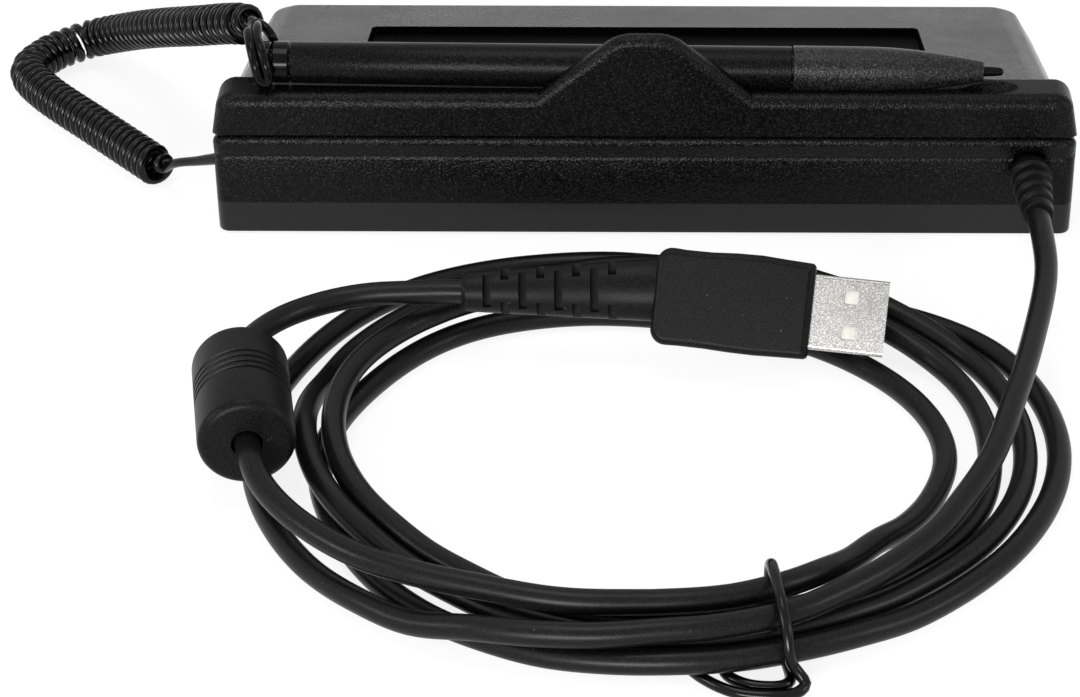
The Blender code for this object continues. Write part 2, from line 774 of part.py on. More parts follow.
def make_lower_shell(parts, cutters, finish):
    bm = bmesh.new()
    add_box(bm, (-HALF_WIDTH, REAR_Y, FOOT_PROUD), (HALF_WIDTH, FRONT_Y, PARTING_HEIGHT))
    for corner, side in ((REAR_CORNER, -1), (FRONT_CORNER, 1)):
        wanted = edges_where(bm, lambda a, b: is_upright(a, b) and a.y * side > HOUSING_DEPTH / 3)
        round_edges(bm, wanted, corner, ROUND_STEPS)
    for vert in bm.verts:
        if vert.co.z > PARTING_HEIGHT - FIT_GAP:
            vert.co.z -= drop_at(vert.co.y)
    base = edges_where(bm, lambda a, b: max(a.z, b.z) < FOOT_PROUD + FIT_GAP)
    round_edges(bm, base, BASE_EDGE, 2)
    shell = object_from("lower_shell", bm, parts, finish)
    combine(shell, make_lower_cavity(cutters), "DIFFERENCE")
    combine(shell, make_lower_posts(cutters), "UNION")
    combine(shell, make_lower_holes(cutters), "DIFFERENCE")
    combine(shell, make_rear_cuts(cutters), "DIFFERENCE")
    combine(shell, make_notch_slit(cutters), "DIFFERENCE")
    return shell


def make_lower_cavity(cutters):
    bm = bmesh.new()
    add_box(
        bm,
        (-HALF_WIDTH + SHELL_WALL, REAR_Y + SHELL_WALL, floor_top()),
        (HALF_WIDTH - SHELL_WALL, FRONT_Y - SHELL_WALL, PARTING_HEIGHT + CUT_OVERRUN),
    )
    round_edges(bm, edges_where(bm, is_upright), REAR_CORNER, 2)
    return object_from("lower_cavity", bm, cutters)


def rib_places():
    """Where the two support ribs stand: just past the board, and under the window's front edge."""
    behind_board = REAR_Y + BOARD_FROM_REAR + BOARD_LENGTH + RIB_THICKNESS * 2
    under_edge = REAR_Y + WINDOW_FROM_REAR + WINDOW_LENGTH + RIB_THICKNESS
    return [behind_board, under_edge]


def stack_depth():
    """Depth of the backing plate's underside below the slope."""
    top_of_panel = TOP_WALL + FIT_GAP + GASKET_THICKNESS + FIT_GAP
    return top_of_panel + PANEL_THICKNESS + FIT_GAP + BACKING_THICKNESS


def make_lower_posts(cutters):
    """Screw seats, board standoffs and the ribs that carry the sensor's backing plate."""
    bm = bmesh.new()
    root = floor_top() - JOIN_DEPTH
    for x, y in screw_places():
        add_cylinder(bm, BOSS_RADIUS + FIT_GAP, (x, y, root), (x, y, seat_top()), SMALL_SIDES)
    for x, y in board_hole_places():
        add_cylinder(bm, STANDOFF_RADIUS, (x, y, root), (x, y, BOARD_HEIGHT - FIT_GAP), SCREW_SIDES)
    for y in rib_places():
        low = (-RIB_WIDTH / 2, y, root)
        high = (RIB_WIDTH / 2, y + RIB_THICKNESS, TOP_AT_REAR - stack_depth() - FIT_GAP)
        for vert in add_box(bm, low, high):
            if vert.co.z > floor_top():
                vert.co.z -= drop_at(vert.co.y)
    return object_from("lower_posts", bm, cutters)


def make_lower_holes(cutters):
    """Screw holes with their counterbores, standoff pilots and foot pockets."""
    bm = bmesh.new()
    for x, y in screw_places():
        seat_under = seat_top() - SCREW_SEAT_WEB
        radius = SCREW_HEAD_RADIUS + FIT_GAP
        bore = add_cylinder(bm, radius, (x, y, -CUT_OVERRUN), (x, y, seat_under), SCREW_SIDES)
        shank = SCREW_SHANK_RADIUS + FIT_GAP
        faces = {face for vert in bore for face in vert.link_faces}
        roof = max(faces, key=lambda face: face.calc_center_median().z)
        bmesh.ops.inset_region(bm, faces=[roof], thickness=radius - shank, depth=0.0)
        grown = bmesh.ops.extrude_face_region(bm, geom=[roof])
        lifted = [item for item in grown["geom"] if isinstance(item, bmesh.types.BMVert)]
        bmesh.ops.translate(bm, vec=(0.0, 0.0, seat_top() - seat_under + CUT_OVERRUN), verts=lifted)
        bmesh.ops.delete(bm, geom=[roof], context="FACES")
    for x, y in board_hole_places():
        pilot_low = (x, y, floor_top() + FIT_GAP)
        pilot_high = (x, y, BOARD_HEIGHT + CUT_OVERRUN)
        add_cylinder(bm, SCREW_SHANK_RADIUS + FIT_GAP, pilot_low, pilot_high, PILOT_SIDES)
    for x, y in foot_places():
        top = (x, y, FOOT_THICKNESS + FIT_GAP)
        add_cylinder(bm, FOOT_RADIUS + FIT_GAP, (x, y, -CUT_OVERRUN), top, MEDIUM_SIDES)
    return object_from("lower_holes", bm, cutters)


def make_rear_cuts(cutters):
    """The line across the rear face, the cable notch and the tether's hole."""
    bm = bmesh.new()
    line = PARTING_HEIGHT - REAR_LINE_DROP
    add_box(
        bm,
        (-HALF_WIDTH - CUT_OVERRUN, REAR_Y - CUT_OVERRUN, line - REAR_LINE_WIDTH),
        (BOOT_X - NOTCH_WIDTH, REAR_Y + REAR_LINE_DEPTH, line),
    )
    half = NOTCH_WIDTH / 2
    inside = REAR_Y + SHELL_WALL + CUT_OVERRUN
    add_box(
        bm,
        (BOOT_X - half, REAR_Y - CUT_OVERRUN, BOOT_HEIGHT - half),
        (BOOT_X + half, inside, BOOT_HEIGHT + half),
    )
    y = REAR_Y + TETHER_FROM_REAR
    add_cylinder(
        bm,
        TETHER_WIRE / 2 + FIT_GAP,
        (-HALF_WIDTH - CUT_OVERRUN, y, TETHER_HEIGHT),
        (-HALF_WIDTH + SHELL_WALL + CUT_OVERRUN, y, TETHER_HEIGHT),
        SCREW_SIDES,
    )
    return object_from("rear_cuts", bm, cutters)


def make_notch_slit(cutters):
    """The narrower slit above the cable notch."""
    bm = bmesh.new()
    half = NOTCH_TOP_WIDTH / 2
    add_box(
        bm,
        (BOOT_X - half, REAR_Y - CUT_OVERRUN, BOOT_HEIGHT),
        (BOOT_X + half, REAR_Y + SHELL_WALL + CUT_OVERRUN, NOTCH_TOP),
    )
    return object_from("notch_slit", bm, cutters)


def slope_plate(name, width, back, front, depth, thickness, collection, finish=None):
    """A plate parallel to the slope, its top this far below it."""
    bm = bmesh.new()
    top = TOP_AT_REAR - depth
    add_box(bm, (-width / 2, back, top - thickness), (width / 2, front, top))
    round_edges(bm, edges_where(bm, is_upright), WINDOW_CORNER, 2)
    shear_to_slope(bm.verts)
    return object_from(name, bm, collection, finish)


def make_sensor_stack(parts, cutters, finish):
    """The writing film, its gasket, the sensor panel and the steel backing plate."""
    back = REAR_Y + WINDOW_FROM_REAR
    front = back + WINDOW_LENGTH
    slope_plate(
        "signing_overlay",
        WINDOW_WIDTH - FIT_GAP * 2,
        back + FIT_GAP,
        front - FIT_GAP,
        WINDOW_RECESS,
        OVERLAY_THICKNESS,
        parts,
        finish["overlay"],
    )
    depth = TOP_WALL + FIT_GAP
    rim = GASKET_RIM + GASKET_CLEARANCE
    gasket = slope_plate(
        "window_gasket",
        WINDOW_WIDTH + rim * 2,
        back - rim,
        front + rim,
        depth,
        GASKET_THICKNESS,
        parts,
        finish["foam"],
    )
    hole = slope_plate(
        "gasket_hole",
        WINDOW_WIDTH + GASKET_CLEARANCE * 2,
        back - GASKET_CLEARANCE,
        front + GASKET_CLEARANCE,
        depth - GASKET_THICKNESS,
        GASKET_THICKNESS * 3,
        cutters,
    )
    combine(gasket, hole, "DIFFERENCE")
    depth += GASKET_THICKNESS + FIT_GAP
    slope_plate(
        "sensor_panel",
        WINDOW_WIDTH + rim * 2,
        back - rim,
        front + rim,
        depth,
        PANEL_THICKNESS,
        parts,
        finish["panel"],
    )
    depth += PANEL_THICKNESS + FIT_GAP
    slope_plate(
        "backing_plate",
        WINDOW_WIDTH + rim * 2,
        back - rim,
        front + rim,
        depth,
        BACKING_THICKNESS,
        parts,
        finish["steel"],
    )


def make_board(parts, cutters, finish):
    """The main board with its chips, its two sockets and its screws."""
    back = REAR_Y + BOARD_FROM_REAR
    top = BOARD_HEIGHT + BOARD_THICKNESS
    bm = bmesh.new()
    half = BOARD_WIDTH / 2
    add_box(bm, (-half, back, BOARD_HEIGHT), (half, back + BOARD_LENGTH, top))
    board = object_from("main_board", bm, parts, finish["board"])
    bm = bmesh.new()
    for x, y in board_hole_places():
        low = (x, y, BOARD_HEIGHT - CUT_OVERRUN)
        add_cylinder(bm, SCREW_SHANK_RADIUS + FIT_GAP, low, (x, y, top + CUT_OVERRUN), PILOT_SIDES)
    combine(board, object_from("board_holes", bm, cutters), "DIFFERENCE")
    middle = back + BOARD_LENGTH / 2
    on_board = top + FIT_GAP
    chip = (CHIP_SIZE, CHIP_SIZE, CHIP_THICKNESS)
    make_block("controller_chip", (0.0, middle, on_board), chip, parts, finish["chip"])
    make_block(
        "memory_chip",
        (-BOARD_WIDTH / 4, middle, on_board),
        (MEMORY_LENGTH, MEMORY_WIDTH, CHIP_THICKNESS),
        parts,
        finish["chip"],
    )
    header = (HEADER_WIDTH, HEADER_LENGTH, HEADER_HEIGHT)
    make_block("cable_header", (BOARD_WIDTH / 3, middle, on_board), header, parts, finish["socket"])
    ribbon_y = back + BOARD_LENGTH - HEADER_LENGTH / 2 - FIT_GAP
    socket = (RIBBON_WIDTH + FIT_GAP * 4, HEADER_LENGTH, HEADER_HEIGHT / 2)
    make_block("ribbon_socket", (0.0, ribbon_y, on_board), socket, parts, finish["socket"])
    make_ribbon(parts, finish["ribbon"], ribbon_y, on_board + HEADER_HEIGHT / 2)
    for number, (x, y) in enumerate(board_hole_places(), 1):
        head_under = top + FIT_GAP
        profile = [
            (0.0, head_under + SCREW_HEAD_HEIGHT),
            (SCREW_HEAD_RADIUS, head_under + SCREW_HEAD_HEIGHT),
            (SCREW_HEAD_RADIUS, head_under),
            (SCREW_SHANK_RADIUS, head_under),
            (SCREW_SHANK_RADIUS, floor_top() + FIT_GAP * 2),
            (0.0, floor_top() + FIT_GAP * 2),
        ]
        screw = turned(f"board_screw_{number}", profile, parts, finish["steel"], sides=SCREW_SIDES)
        screw.location = (x, y, 0.0)


def make_block(name, foot, size, parts, finish):
    """A small block standing on a point."""
    bm = bmesh.new()
    x, y, z = foot
    wide, long, high = size
    add_box(bm, (x - wide / 2, y - long / 2, z), (x + wide / 2, y + long / 2, z + high))
    return object_from(name, bm, parts, finish)


def make_ribbon(parts, finish, socket_y, socket_top):
    """The flat flex from the sensor panel's underside, past the backing plate, to its socket."""
    front = REAR_Y + WINDOW_FROM_REAR - GASKET_RIM - GASKET_CLEARANCE - FIT_GAP
    panel_under = TOP_WALL + GASKET_THICKNESS + PANEL_THICKNESS + FIT_GAP * 2
    start = TOP_AT_REAR - panel_under - drop_at(front)
    low = socket_top + FIT_GAP
    bow = HEADER_HEIGHT / 2
    outline = [
        (front, start),
        (front - bow / 2, start - bow),
        (front - bow / 2, low + bow * 2),
        (socket_y - bow / 2, low + bow / 2),
        (socket_y, low),
    ]
    line = smooth_route([(0.0, y, z) for y, z in outline], RIBBON_THICKNESS * 4)
    bm = bmesh.new()
    verts = [bm.verts.new(point) for point in line]
    edges = [bm.edges.new(pair) for pair in zip(verts, verts[1:])]
    bmesh.ops.translate(bm, vec=(-RIBBON_WIDTH / 2, 0.0, 0.0), verts=verts)
    grown = bmesh.ops.extrude_edge_only(bm, edges=edges)["geom"]
    moved = [item for item in grown if isinstance(item, bmesh.types.BMVert)]
    bmesh.ops.translate(bm, vec=(RIBBON_WIDTH, 0.0, 0.0), verts=moved)
    ribbon = object_from("sensor_ribbon", bm, parts, finish)
    thick = ribbon.modifiers.new("thickness", "SOLIDIFY")
    thick.thickness = RIBBON_THICKNESS
    thick.offset = 0.0


def make_case_screws(parts, finish):
    for number, (x, y) in enumerate(screw_places(), 1):
        head_top = seat_top() - SCREW_SEAT_WEB - FIT_GAP
        end = seat_top() + BOSS_BITE
        profile = [
            (0.0, end),
            (SCREW_SHANK_RADIUS, end - SCREW_SHANK_RADIUS / 2),
            (SCREW_SHANK_RADIUS, head_top),
            (SCREW_HEAD_RADIUS, head_top),
            (SCREW_HEAD_RADIUS, head_top - SCREW_HEAD_HEIGHT),
            (SCREW_HEAD_RADIUS / 2, head_top - SCREW_HEAD_HEIGHT),
            (0.0, head_top - SCREW_HEAD_HEIGHT + SCREW_HEAD_RECESS),
        ]
        screw = turned(f"case_screw_{number}", profile, parts, finish, sides=SCREW_SIDES)
        screw.location = (x, y, 0.0)


def make_feet(parts, finish):
    for number, (x, y) in enumerate(foot_places(), 1):
        bm = bmesh.new()
        add_cylinder(bm, FOOT_RADIUS, (x, y, 0.0), (x, y, FOOT_THICKNESS), MEDIUM_SIDES)
        object_from(f"foot_{number}", bm, parts, finish)


def make_pen(parts, pen, finish):
    """The pen's pieces, each turned about the pen's axis."""
    spigot = PEN_BORE_RADIUS - FIT_GAP
    cap_round = PEN_REAR_RADIUS / 2
    turned(
        "pen_end_cap",
        [
            (0.0, PEN_COLLAR_START + PEN_SPIGOT_LENGTH),
            (spigot, PEN_COLLAR_START + PEN_SPIGOT_LENGTH),
            (spigot, PEN_COLLAR_START - FIT_GAP),
            (PEN_REAR_RADIUS, PEN_COLLAR_START - FIT_GAP),
            (PEN_REAR_RADIUS, PEN_CAP_END + cap_round),
            (PEN_REAR_RADIUS * math.cos(math.pi / 6), PEN_CAP_END + cap_round / 2),
            (PEN_REAR_RADIUS / 2, PEN_CAP_END + cap_round / 8),
            (0.0, PEN_CAP_END),
        ],
        parts,
        finish["gloss"],
        pen,
    )
    turned_ring(
        "pen_collar",
        [
            (PEN_BORE_RADIUS, PEN_BARREL_START - FIT_GAP),
            (PEN_REAR_RADIUS, PEN_BARREL_START - FIT_GAP),
            (PEN_REAR_RADIUS, PEN_COLLAR_START),
            (PEN_BORE_RADIUS, PEN_COLLAR_START),
        ],
        parts,
        finish["gloss"],
        pen,
    )
    turned_ring(
        "pen_barrel",
        [
            (PEN_BORE_RADIUS, PEN_GRIP_START - FIT_GAP),
            (PEN_FRONT_RADIUS, PEN_GRIP_START - FIT_GAP),
            (PEN_REAR_RADIUS, PEN_BARREL_START),
            (PEN_BORE_RADIUS, PEN_BARREL_START),
        ],
        parts,
        finish["barrel"],
        pen,
    )
    nib_bore = PEN_NIB_RADIUS + FIT_GAP
    bore_end = PEN_NOSE_END - NIB_TAIL_LENGTH - FIT_GAP * 2
    turned(
        "pen_grip",
        [
            (0.0, bore_end),
            (nib_bore, bore_end),
            (nib_bore, PEN_NOSE_END),
            (PEN_NOSE_RADIUS, PEN_NOSE_END),
            ((PEN_NOSE_RADIUS + PEN_GRIP_RADIUS) / 2 + FIT_GAP, (PEN_NOSE_END + PEN_TAPER_START) / 2),
            (PEN_GRIP_RADIUS, PEN_TAPER_START),
            (PEN_GRIP_RADIUS, PEN_GRIP_START),
            (spigot, PEN_GRIP_START),
            (spigot, PEN_GRIP_START - PEN_SPIGOT_LENGTH),
            (0.0, PEN_GRIP_START - PEN_SPIGOT_LENGTH),
        ],
        parts,
        finish["grip"],
        pen,
    )
    tail = PEN_NOSE_END - NIB_TAIL_LENGTH
    turned(
        "pen_nib",
        [
            (0.0, PEN_NIB_END),
            (PEN_NIB_RADIUS / 2, PEN_NIB_END - PEN_NIB_RADIUS / 8),
            (PEN_NIB_RADIUS * math.cos(math.pi / 5), PEN_NIB_END - PEN_NIB_RADIUS),
            (PEN_NIB_RADIUS, PEN_NOSE_END),
            (PEN_NIB_RADIUS, tail),
            (0.0, tail),
        ],
        parts,
        finish["gloss"],
        pen,
        SMALL_SIDES,
    )


def inner_lengths(axis, radius):
    """How far along its tightest side a curly cord has come at each point of its axis."""
    lengths = [0.0]
    for i in range(len(axis) - 1):
        low, high = max(0, i - CURVE_WINDOW), min(len(axis) - 1, i + 1 + CURVE_WINDOW)
        middle = (low + high) // 2
        first, second = axis[middle] - axis[low], axis[high] - axis[middle]
        bend = first.angle(second) / ((first.length + second.length) / 2)
        step = (axis[i + 1] - axis[i]).length
        lengths.append(lengths[-1] + step * (1 - radius * bend))
    return lengths


def curls(route, wire, radius, turns):
    """One unbroken curly wire along a route. Its curls keep their distance on the inside of a bend."""
    axis = smooth_route(route, wire / 2)
    lengths = inner_lengths(axis, radius)
    count = turns * CURL_POINTS
    side = (axis[1] - axis[0]).orthogonal().normalized()
    made, index = [], 0
    for step in range(count + 1):
        target = lengths[-1] * step / count
        while index < len(axis) - 2 and lengths[index + 1] < target:
            index += 1
        share = (target - lengths[index]) / (lengths[index + 1] - lengths[index])
        centre = axis[index].lerp(axis[index + 1], share)
        heading = (axis[index + 1] - axis[index]).normalized()
        side = (side - heading * side.dot(heading)).normalized()
        angle = math.tau * step / CURL_POINTS
        reach = radius * min(1.0, step / CURL_POINTS, (count - step) / CURL_POINTS)
        made.append(centre + (side * math.cos(angle) + heading.cross(side) * math.sin(angle)) * reach)
    start = made[0] - (axis[1] - axis[0]).normalized() * wire
    end = made[-1] + (axis[-1] - axis[-2]).normalized() * wire
    return [start] + made + [end]


def make_tether(parts, finish):
    """The curly cord between the housing's left side and the pen."""
    coil = curls(TETHER_CURL_ROUTE, TETHER_CURL_WIRE, TETHER_CURL_RADIUS, TETHER_CURLS)
    gap = least_gap(coil, TETHER_CURL_WIRE) * MM_PER_M
    print("tether_coil least gap to itself, mm:", round(gap, 3))
    tube("tether_coil", coil, TETHER_CURL_WIRE, parts, finish, 1)
    out = (coil[-1] - coil[-2]).normalized()
    y = REAR_Y + TETHER_FROM_REAR
    inner = -HALF_WIDTH + SHELL_WALL
    lead = [coil[-1] + out * FIT_GAP, coil[-1] + out * (FIT_GAP + TETHER_WIRE)]
    lead += TETHER_LEAD_ROUTE
    lead += [(-HALF_WIDTH - TETHER_WIRE, y, TETHER_HEIGHT), (inner, y, TETHER_HEIGHT)]
    tube("tether_lead", square_ended_route(lead, TETHER_WIRE * 2), TETHER_WIRE, parts, finish)
    bm = bmesh.new()
    start = (inner + FIT_GAP, y, TETHER_HEIGHT)
    end = (inner + FIT_GAP + ANCHOR_LENGTH, y, TETHER_HEIGHT)
    add_cylinder(bm, ANCHOR_RADIUS, start, end, SCREW_SIDES)
    object_from("tether_anchor", bm, parts, finish)
    make_hitch(parts, finish)


def make_hitch(parts, finish):
    """The end of the cord, looped over the pen's end cap."""
    tube("tether_hitch", square_ended_route(HITCH_ROUTE, TETHER_WIRE), TETHER_WIRE, parts, finish)


def make_cable_boot(parts, cutters, finish):
    """The ribbed strain relief, held by its flange behind the rear wall."""
    turn = (math.pi / 2 + BOOT_DROOP, 0.0, 0.0)
    holder = seat("boot_seat", (BOOT_X, REAR_Y, BOOT_HEIGHT), turn, cutters)
    flange = -SHELL_WALL - FIT_GAP
    neck = NOTCH_WIDTH / 2 - FIT_GAP
    pitch = (BOOT_LENGTH - FIT_GAP * 2) / BOOT_RIBS
    profile = [(0.0, BOOT_LENGTH), (BOOT_TIP_RADIUS, BOOT_LENGTH)]
    for rib in range(BOOT_RIBS):
        outer = BOOT_LENGTH - pitch * rib
        inner = outer - pitch
        share = (outer + inner) / 2 / BOOT_LENGTH
        radius = BOOT_TIP_RADIUS + (BOOT_ROOT_RADIUS - BOOT_TIP_RADIUS) * (1 - share)
        if rib:
            profile.append((radius, outer - pitch / 8))
        profile.append((radius, inner + pitch / 3))
        profile.append((radius - BOOT_RIB_DEPTH, inner + pitch / 4))
        profile.append((radius - BOOT_RIB_DEPTH, inner + pitch / 16))
    profile += [
        (neck, FIT_GAP),
        (neck, flange),
        (BOOT_FLANGE_RADIUS, flange),
        (BOOT_FLANGE_RADIUS, flange - BOOT_FLANGE_THICKNESS),
        (0.0, flange - BOOT_FLANGE_THICKNESS),
    ]
    turned("cable_boot", profile, parts, finish["boot"], holder, MEDIUM_SIDES)
    make_inner_cable(parts, finish["cable"], flange - BOOT_FLANGE_THICKNESS - FIT_GAP)


def make_inner_cable(parts, finish, start):
    """The short run of cable inside, from the boot to its socket on the board."""
    top = BOARD_HEIGHT + BOARD_THICKNESS + FIT_GAP
    thick = CABLE_DIAMETER * INNER_CABLE_SHARE
    side = BOARD_WIDTH / 3 + HEADER_WIDTH / 2 + FIT_GAP
    y = REAR_Y + BOARD_FROM_REAR + BOARD_LENGTH / 2
    middle = top + HEADER_HEIGHT / 2
    run = BOOT_X - side
    points = [
        (BOOT_X, REAR_Y - start, BOOT_HEIGHT),
        (BOOT_X, REAR_Y - start + thick / 2, BOOT_HEIGHT),
        (BOOT_X - run / 6, REAR_Y - start + thick, BOOT_HEIGHT - thick / 3),
        (BOOT_X - run * 5 / 12, REAR_Y - start + thick, BOOT_HEIGHT - thick),
        (side + run / 4, y - thick, middle),
        (side + thick * 2, y, middle),
        (side, y, middle),
    ]
    tube("inner_cable", square_ended_route(points, thick * 2), thick, parts, finish)


def eased(share):
    return share * share * (3 - 2 * share)


def coil_line():
    """The stations one after another, as (angle gone round, distance, height)."""
    line = []
    for turn in range(COIL_TURNS):
        for angle, strands in COIL_STATIONS:
            line.append((angle - COIL_STATIONS[0][0] + FULL_TURN * turn, *strands[turn]))
    line.append((FULL_TURN * COIL_TURNS, *COIL_END))
    return line


def coil_sample(line, angle):
    """Distance and height of the wound strand this many degrees round."""
    last = len(line) - 1
    index = max(i for i in range(last) if line[i][0] <= angle)
    start, end = line[index], line[index + 1]
    span = end[0] - start[0]
    t = (angle - start[0]) / span

    def trend(i):
        low, high = line[max(0, i - 1)], line[min(last, i + 1)]
        return (high[1] - low[1]) / (high[0] - low[0]) * span

    distance = start[1] + (end[1] - start[1]) * eased(t)
    distance += trend(index) * t * (1 - t) ** 2 - trend(index + 1) * t**2 * (1 - t)
    return distance, start[2] + (end[2] - start[2]) * eased(t)


def coil_points(per_turn):
    """The wound strand from the tied bundle round to it again, one point list."""
    line = coil_line()
    made = []
    for step in range(per_turn * COIL_TURNS + 1):
        angle = FULL_TURN * step / per_turn
        distance, height = coil_sample(line, angle)
        turn = math.radians(angle + COIL_STATIONS[0][0])
        offset = Vector((math.cos(turn), math.sin(turn), 0.0)) * distance
        made.append(COIL_CENTRE + offset + Vector((0.0, 0.0, height)))
    return made


def make_cable(parts, finish):
    """The cable: lead from the boot, wound coil, and tail through the bead to the plug."""
    coil = coil_points(LOOP_POINTS)
    coil.insert(0, coil[0] - Vector((CABLE_DIAMETER, 0.0, 0.0)))
    coil.append(coil[-1] + Vector((CABLE_DIAMETER, 0.0, 0.0)))
    gap = least_gap(coil, CABLE_DIAMETER) * MM_PER_M
    print("cable_coil least gap to itself, mm:", round(gap, 3))
    print("cable_coil length, mm:", round(route_length(coil) * MM_PER_M, 1))
    tube("cable_coil", coil, CABLE_DIAMETER, parts, finish, 1)
    spacing = CABLE_DIAMETER * 2
    straight = CABLE_DIAMETER + FIT_GAP
    out = Vector((0.0, -math.cos(BOOT_DROOP), -math.sin(BOOT_DROOP)))
    tip = Vector((BOOT_X, REAR_Y, BOOT_HEIGHT)) + out * BOOT_LENGTH
    lead = [tip + out * FIT_GAP, tip + out * straight, *LEAD_ROUTE]
    lead += [coil[-1] + Vector((straight, 0.0, 0.0)), coil[-1] + Vector((FIT_GAP, 0.0, 0.0))]
    lead = square_ended_route(lead, spacing)
    tube("cable_lead", lead, CABLE_DIAMETER, parts, finish)
    along = Vector((math.sin(FERRITE_YAW), math.cos(FERRITE_YAW), 0.0))
    boot = plug_boot_axis()
    tail = [coil[0] - Vector((FIT_GAP, 0.0, 0.0)), coil[0] - Vector((straight, 0.0, 0.0))]
    tail += TAIL_ROUTE_TO_BEAD
    reach = along * FERRITE_LENGTH * FERRITE_STRAIGHT_SHARE
    tail += [FERRITE_CENTRE - reach, FERRITE_CENTRE, FERRITE_CENTRE + reach]
    tail += TAIL_ROUTE_TO_PLUG
    tail += [PLUG_BOOT_TIP - boot * straight, PLUG_BOOT_TIP - boot * FIT_GAP]
    tail = square_ended_route(tail, spacing)
    tube("cable_tail", tail, CABLE_DIAMETER, parts, finish)
    print("cable_lead length, mm:", round(route_length(lead) * MM_PER_M, 1))
    print("cable_tail length, mm:", round(route_length(tail) * MM_PER_M, 1))


def make_ferrite(parts, cutters, finish):
    """The moulded bead: a cover with a bore for the cable, open inside for the ferrite sleeve."""
    turn = Euler((-math.pi / 2, 0.0, -FERRITE_YAW))
    holder = seat("bead_seat", FERRITE_CENTRE, turn, cutters)
    half = FERRITE_LENGTH / 2
    bore = CABLE_DIAMETER / 2 + FERRITE_BORE_ROOM
    inner = FERRITE_RADIUS - FERRITE_WALL
    core_half = half - FERRITE_WALL * 2
    profile = [
        (bore, half),
        (FERRITE_RADIUS - FERRITE_EDGE, half),
        (FERRITE_RADIUS - FERRITE_EDGE / 3, half - FERRITE_EDGE / 3),
        (FERRITE_RADIUS, half - FERRITE_EDGE),
    ]
    first = FERRITE_GROOVE_PITCH * (FERRITE_GROOVES - 1) / 2 + half / 8
    for groove in range(FERRITE_GROOVES):
        at = first - FERRITE_GROOVE_PITCH * groove
        mouth = FERRITE_GROOVE_PITCH / 4
        profile += [
            (FERRITE_RADIUS, at + mouth),
            (FERRITE_RADIUS - FERRITE_GROOVE_DEPTH, at),
            (FERRITE_RADIUS, at - mouth),
        ]
    profile += [
        (FERRITE_RADIUS, -half + FERRITE_EDGE),
        (FERRITE_RADIUS - FERRITE_EDGE / 3, -half + FERRITE_EDGE / 3),
        (FERRITE_RADIUS - FERRITE_EDGE, -half),
        (bore, -half),
        (bore, -core_half),
        (inner, -core_half),
        (inner, core_half),
        (bore, core_half),
    ]
    turned_ring("ferrite_cover", profile, parts, finish["boot"], holder, FINE_SIDES)
    core = [
        (bore, core_half - FIT_GAP),
        (inner - FIT_GAP, core_half - FIT_GAP),
        (inner - FIT_GAP, -core_half + FIT_GAP),
        (bore, -core_half + FIT_GAP),
    ]
    turned_ring("ferrite_core", core, parts, finish["ferrite"], holder, ROUND_SIDES)


def plug_turn():
    return Euler((-PLUG_LEAN, PLUG_PITCH, -PLUG_YAW))


def plug_boot_root():
    """Middle of the plug's back end, where its boot begins."""
    return PLUG_CENTRE + plug_turn().to_matrix() @ Vector((-PLUG_LENGTH / 2, 0.0, PLUG_EDGE))


def plug_boot_axis():
    return (plug_boot_root() - PLUG_BOOT_TIP).normalized()


def make_plug(parts, cutters, finish):
    holder = seat("plug_seat", PLUG_CENTRE, plug_turn(), cutters)
    bm = bmesh.new()
    half = Vector((PLUG_LENGTH, PLUG_THICKNESS, PLUG_WIDTH)) / 2
    add_box(bm, -half, half)
    back_corners = edges_where(bm, lambda a, b: abs(a.y - b.y) > PLUG_EDGE and a.x < 0)
    round_edges(bm, back_corners, PLUG_CORNER, ROUND_STEPS)
    rims = [edge for edge in bm.edges if edge.calc_face_angle(0.0) > math.radians(60)]
    round_edges(bm, rims, PLUG_EDGE, 2)
    body = object_from("plug_overmould", bm, parts, finish["boot"], holder)
    boot = make_plug_boot(cutters)
    combine(body, boot, "UNION")
    bm = bmesh.new()
    room = Vector((0.0, SHELL_THICKNESS / 2 + FIT_GAP, SHELL_WIDTH / 2 + FIT_GAP))
    front = half.x - SHELL_SEAT
    add_box(bm, (front, -room.y, -room.z), (half.x + CUT_OVERRUN, room.y, room.z))
    combine(body, object_from("plug_pocket", bm, cutters, parent=holder), "DIFFERENCE")
    make_plug_shell(parts, cutters, finish, holder, front + FIT_GAP)


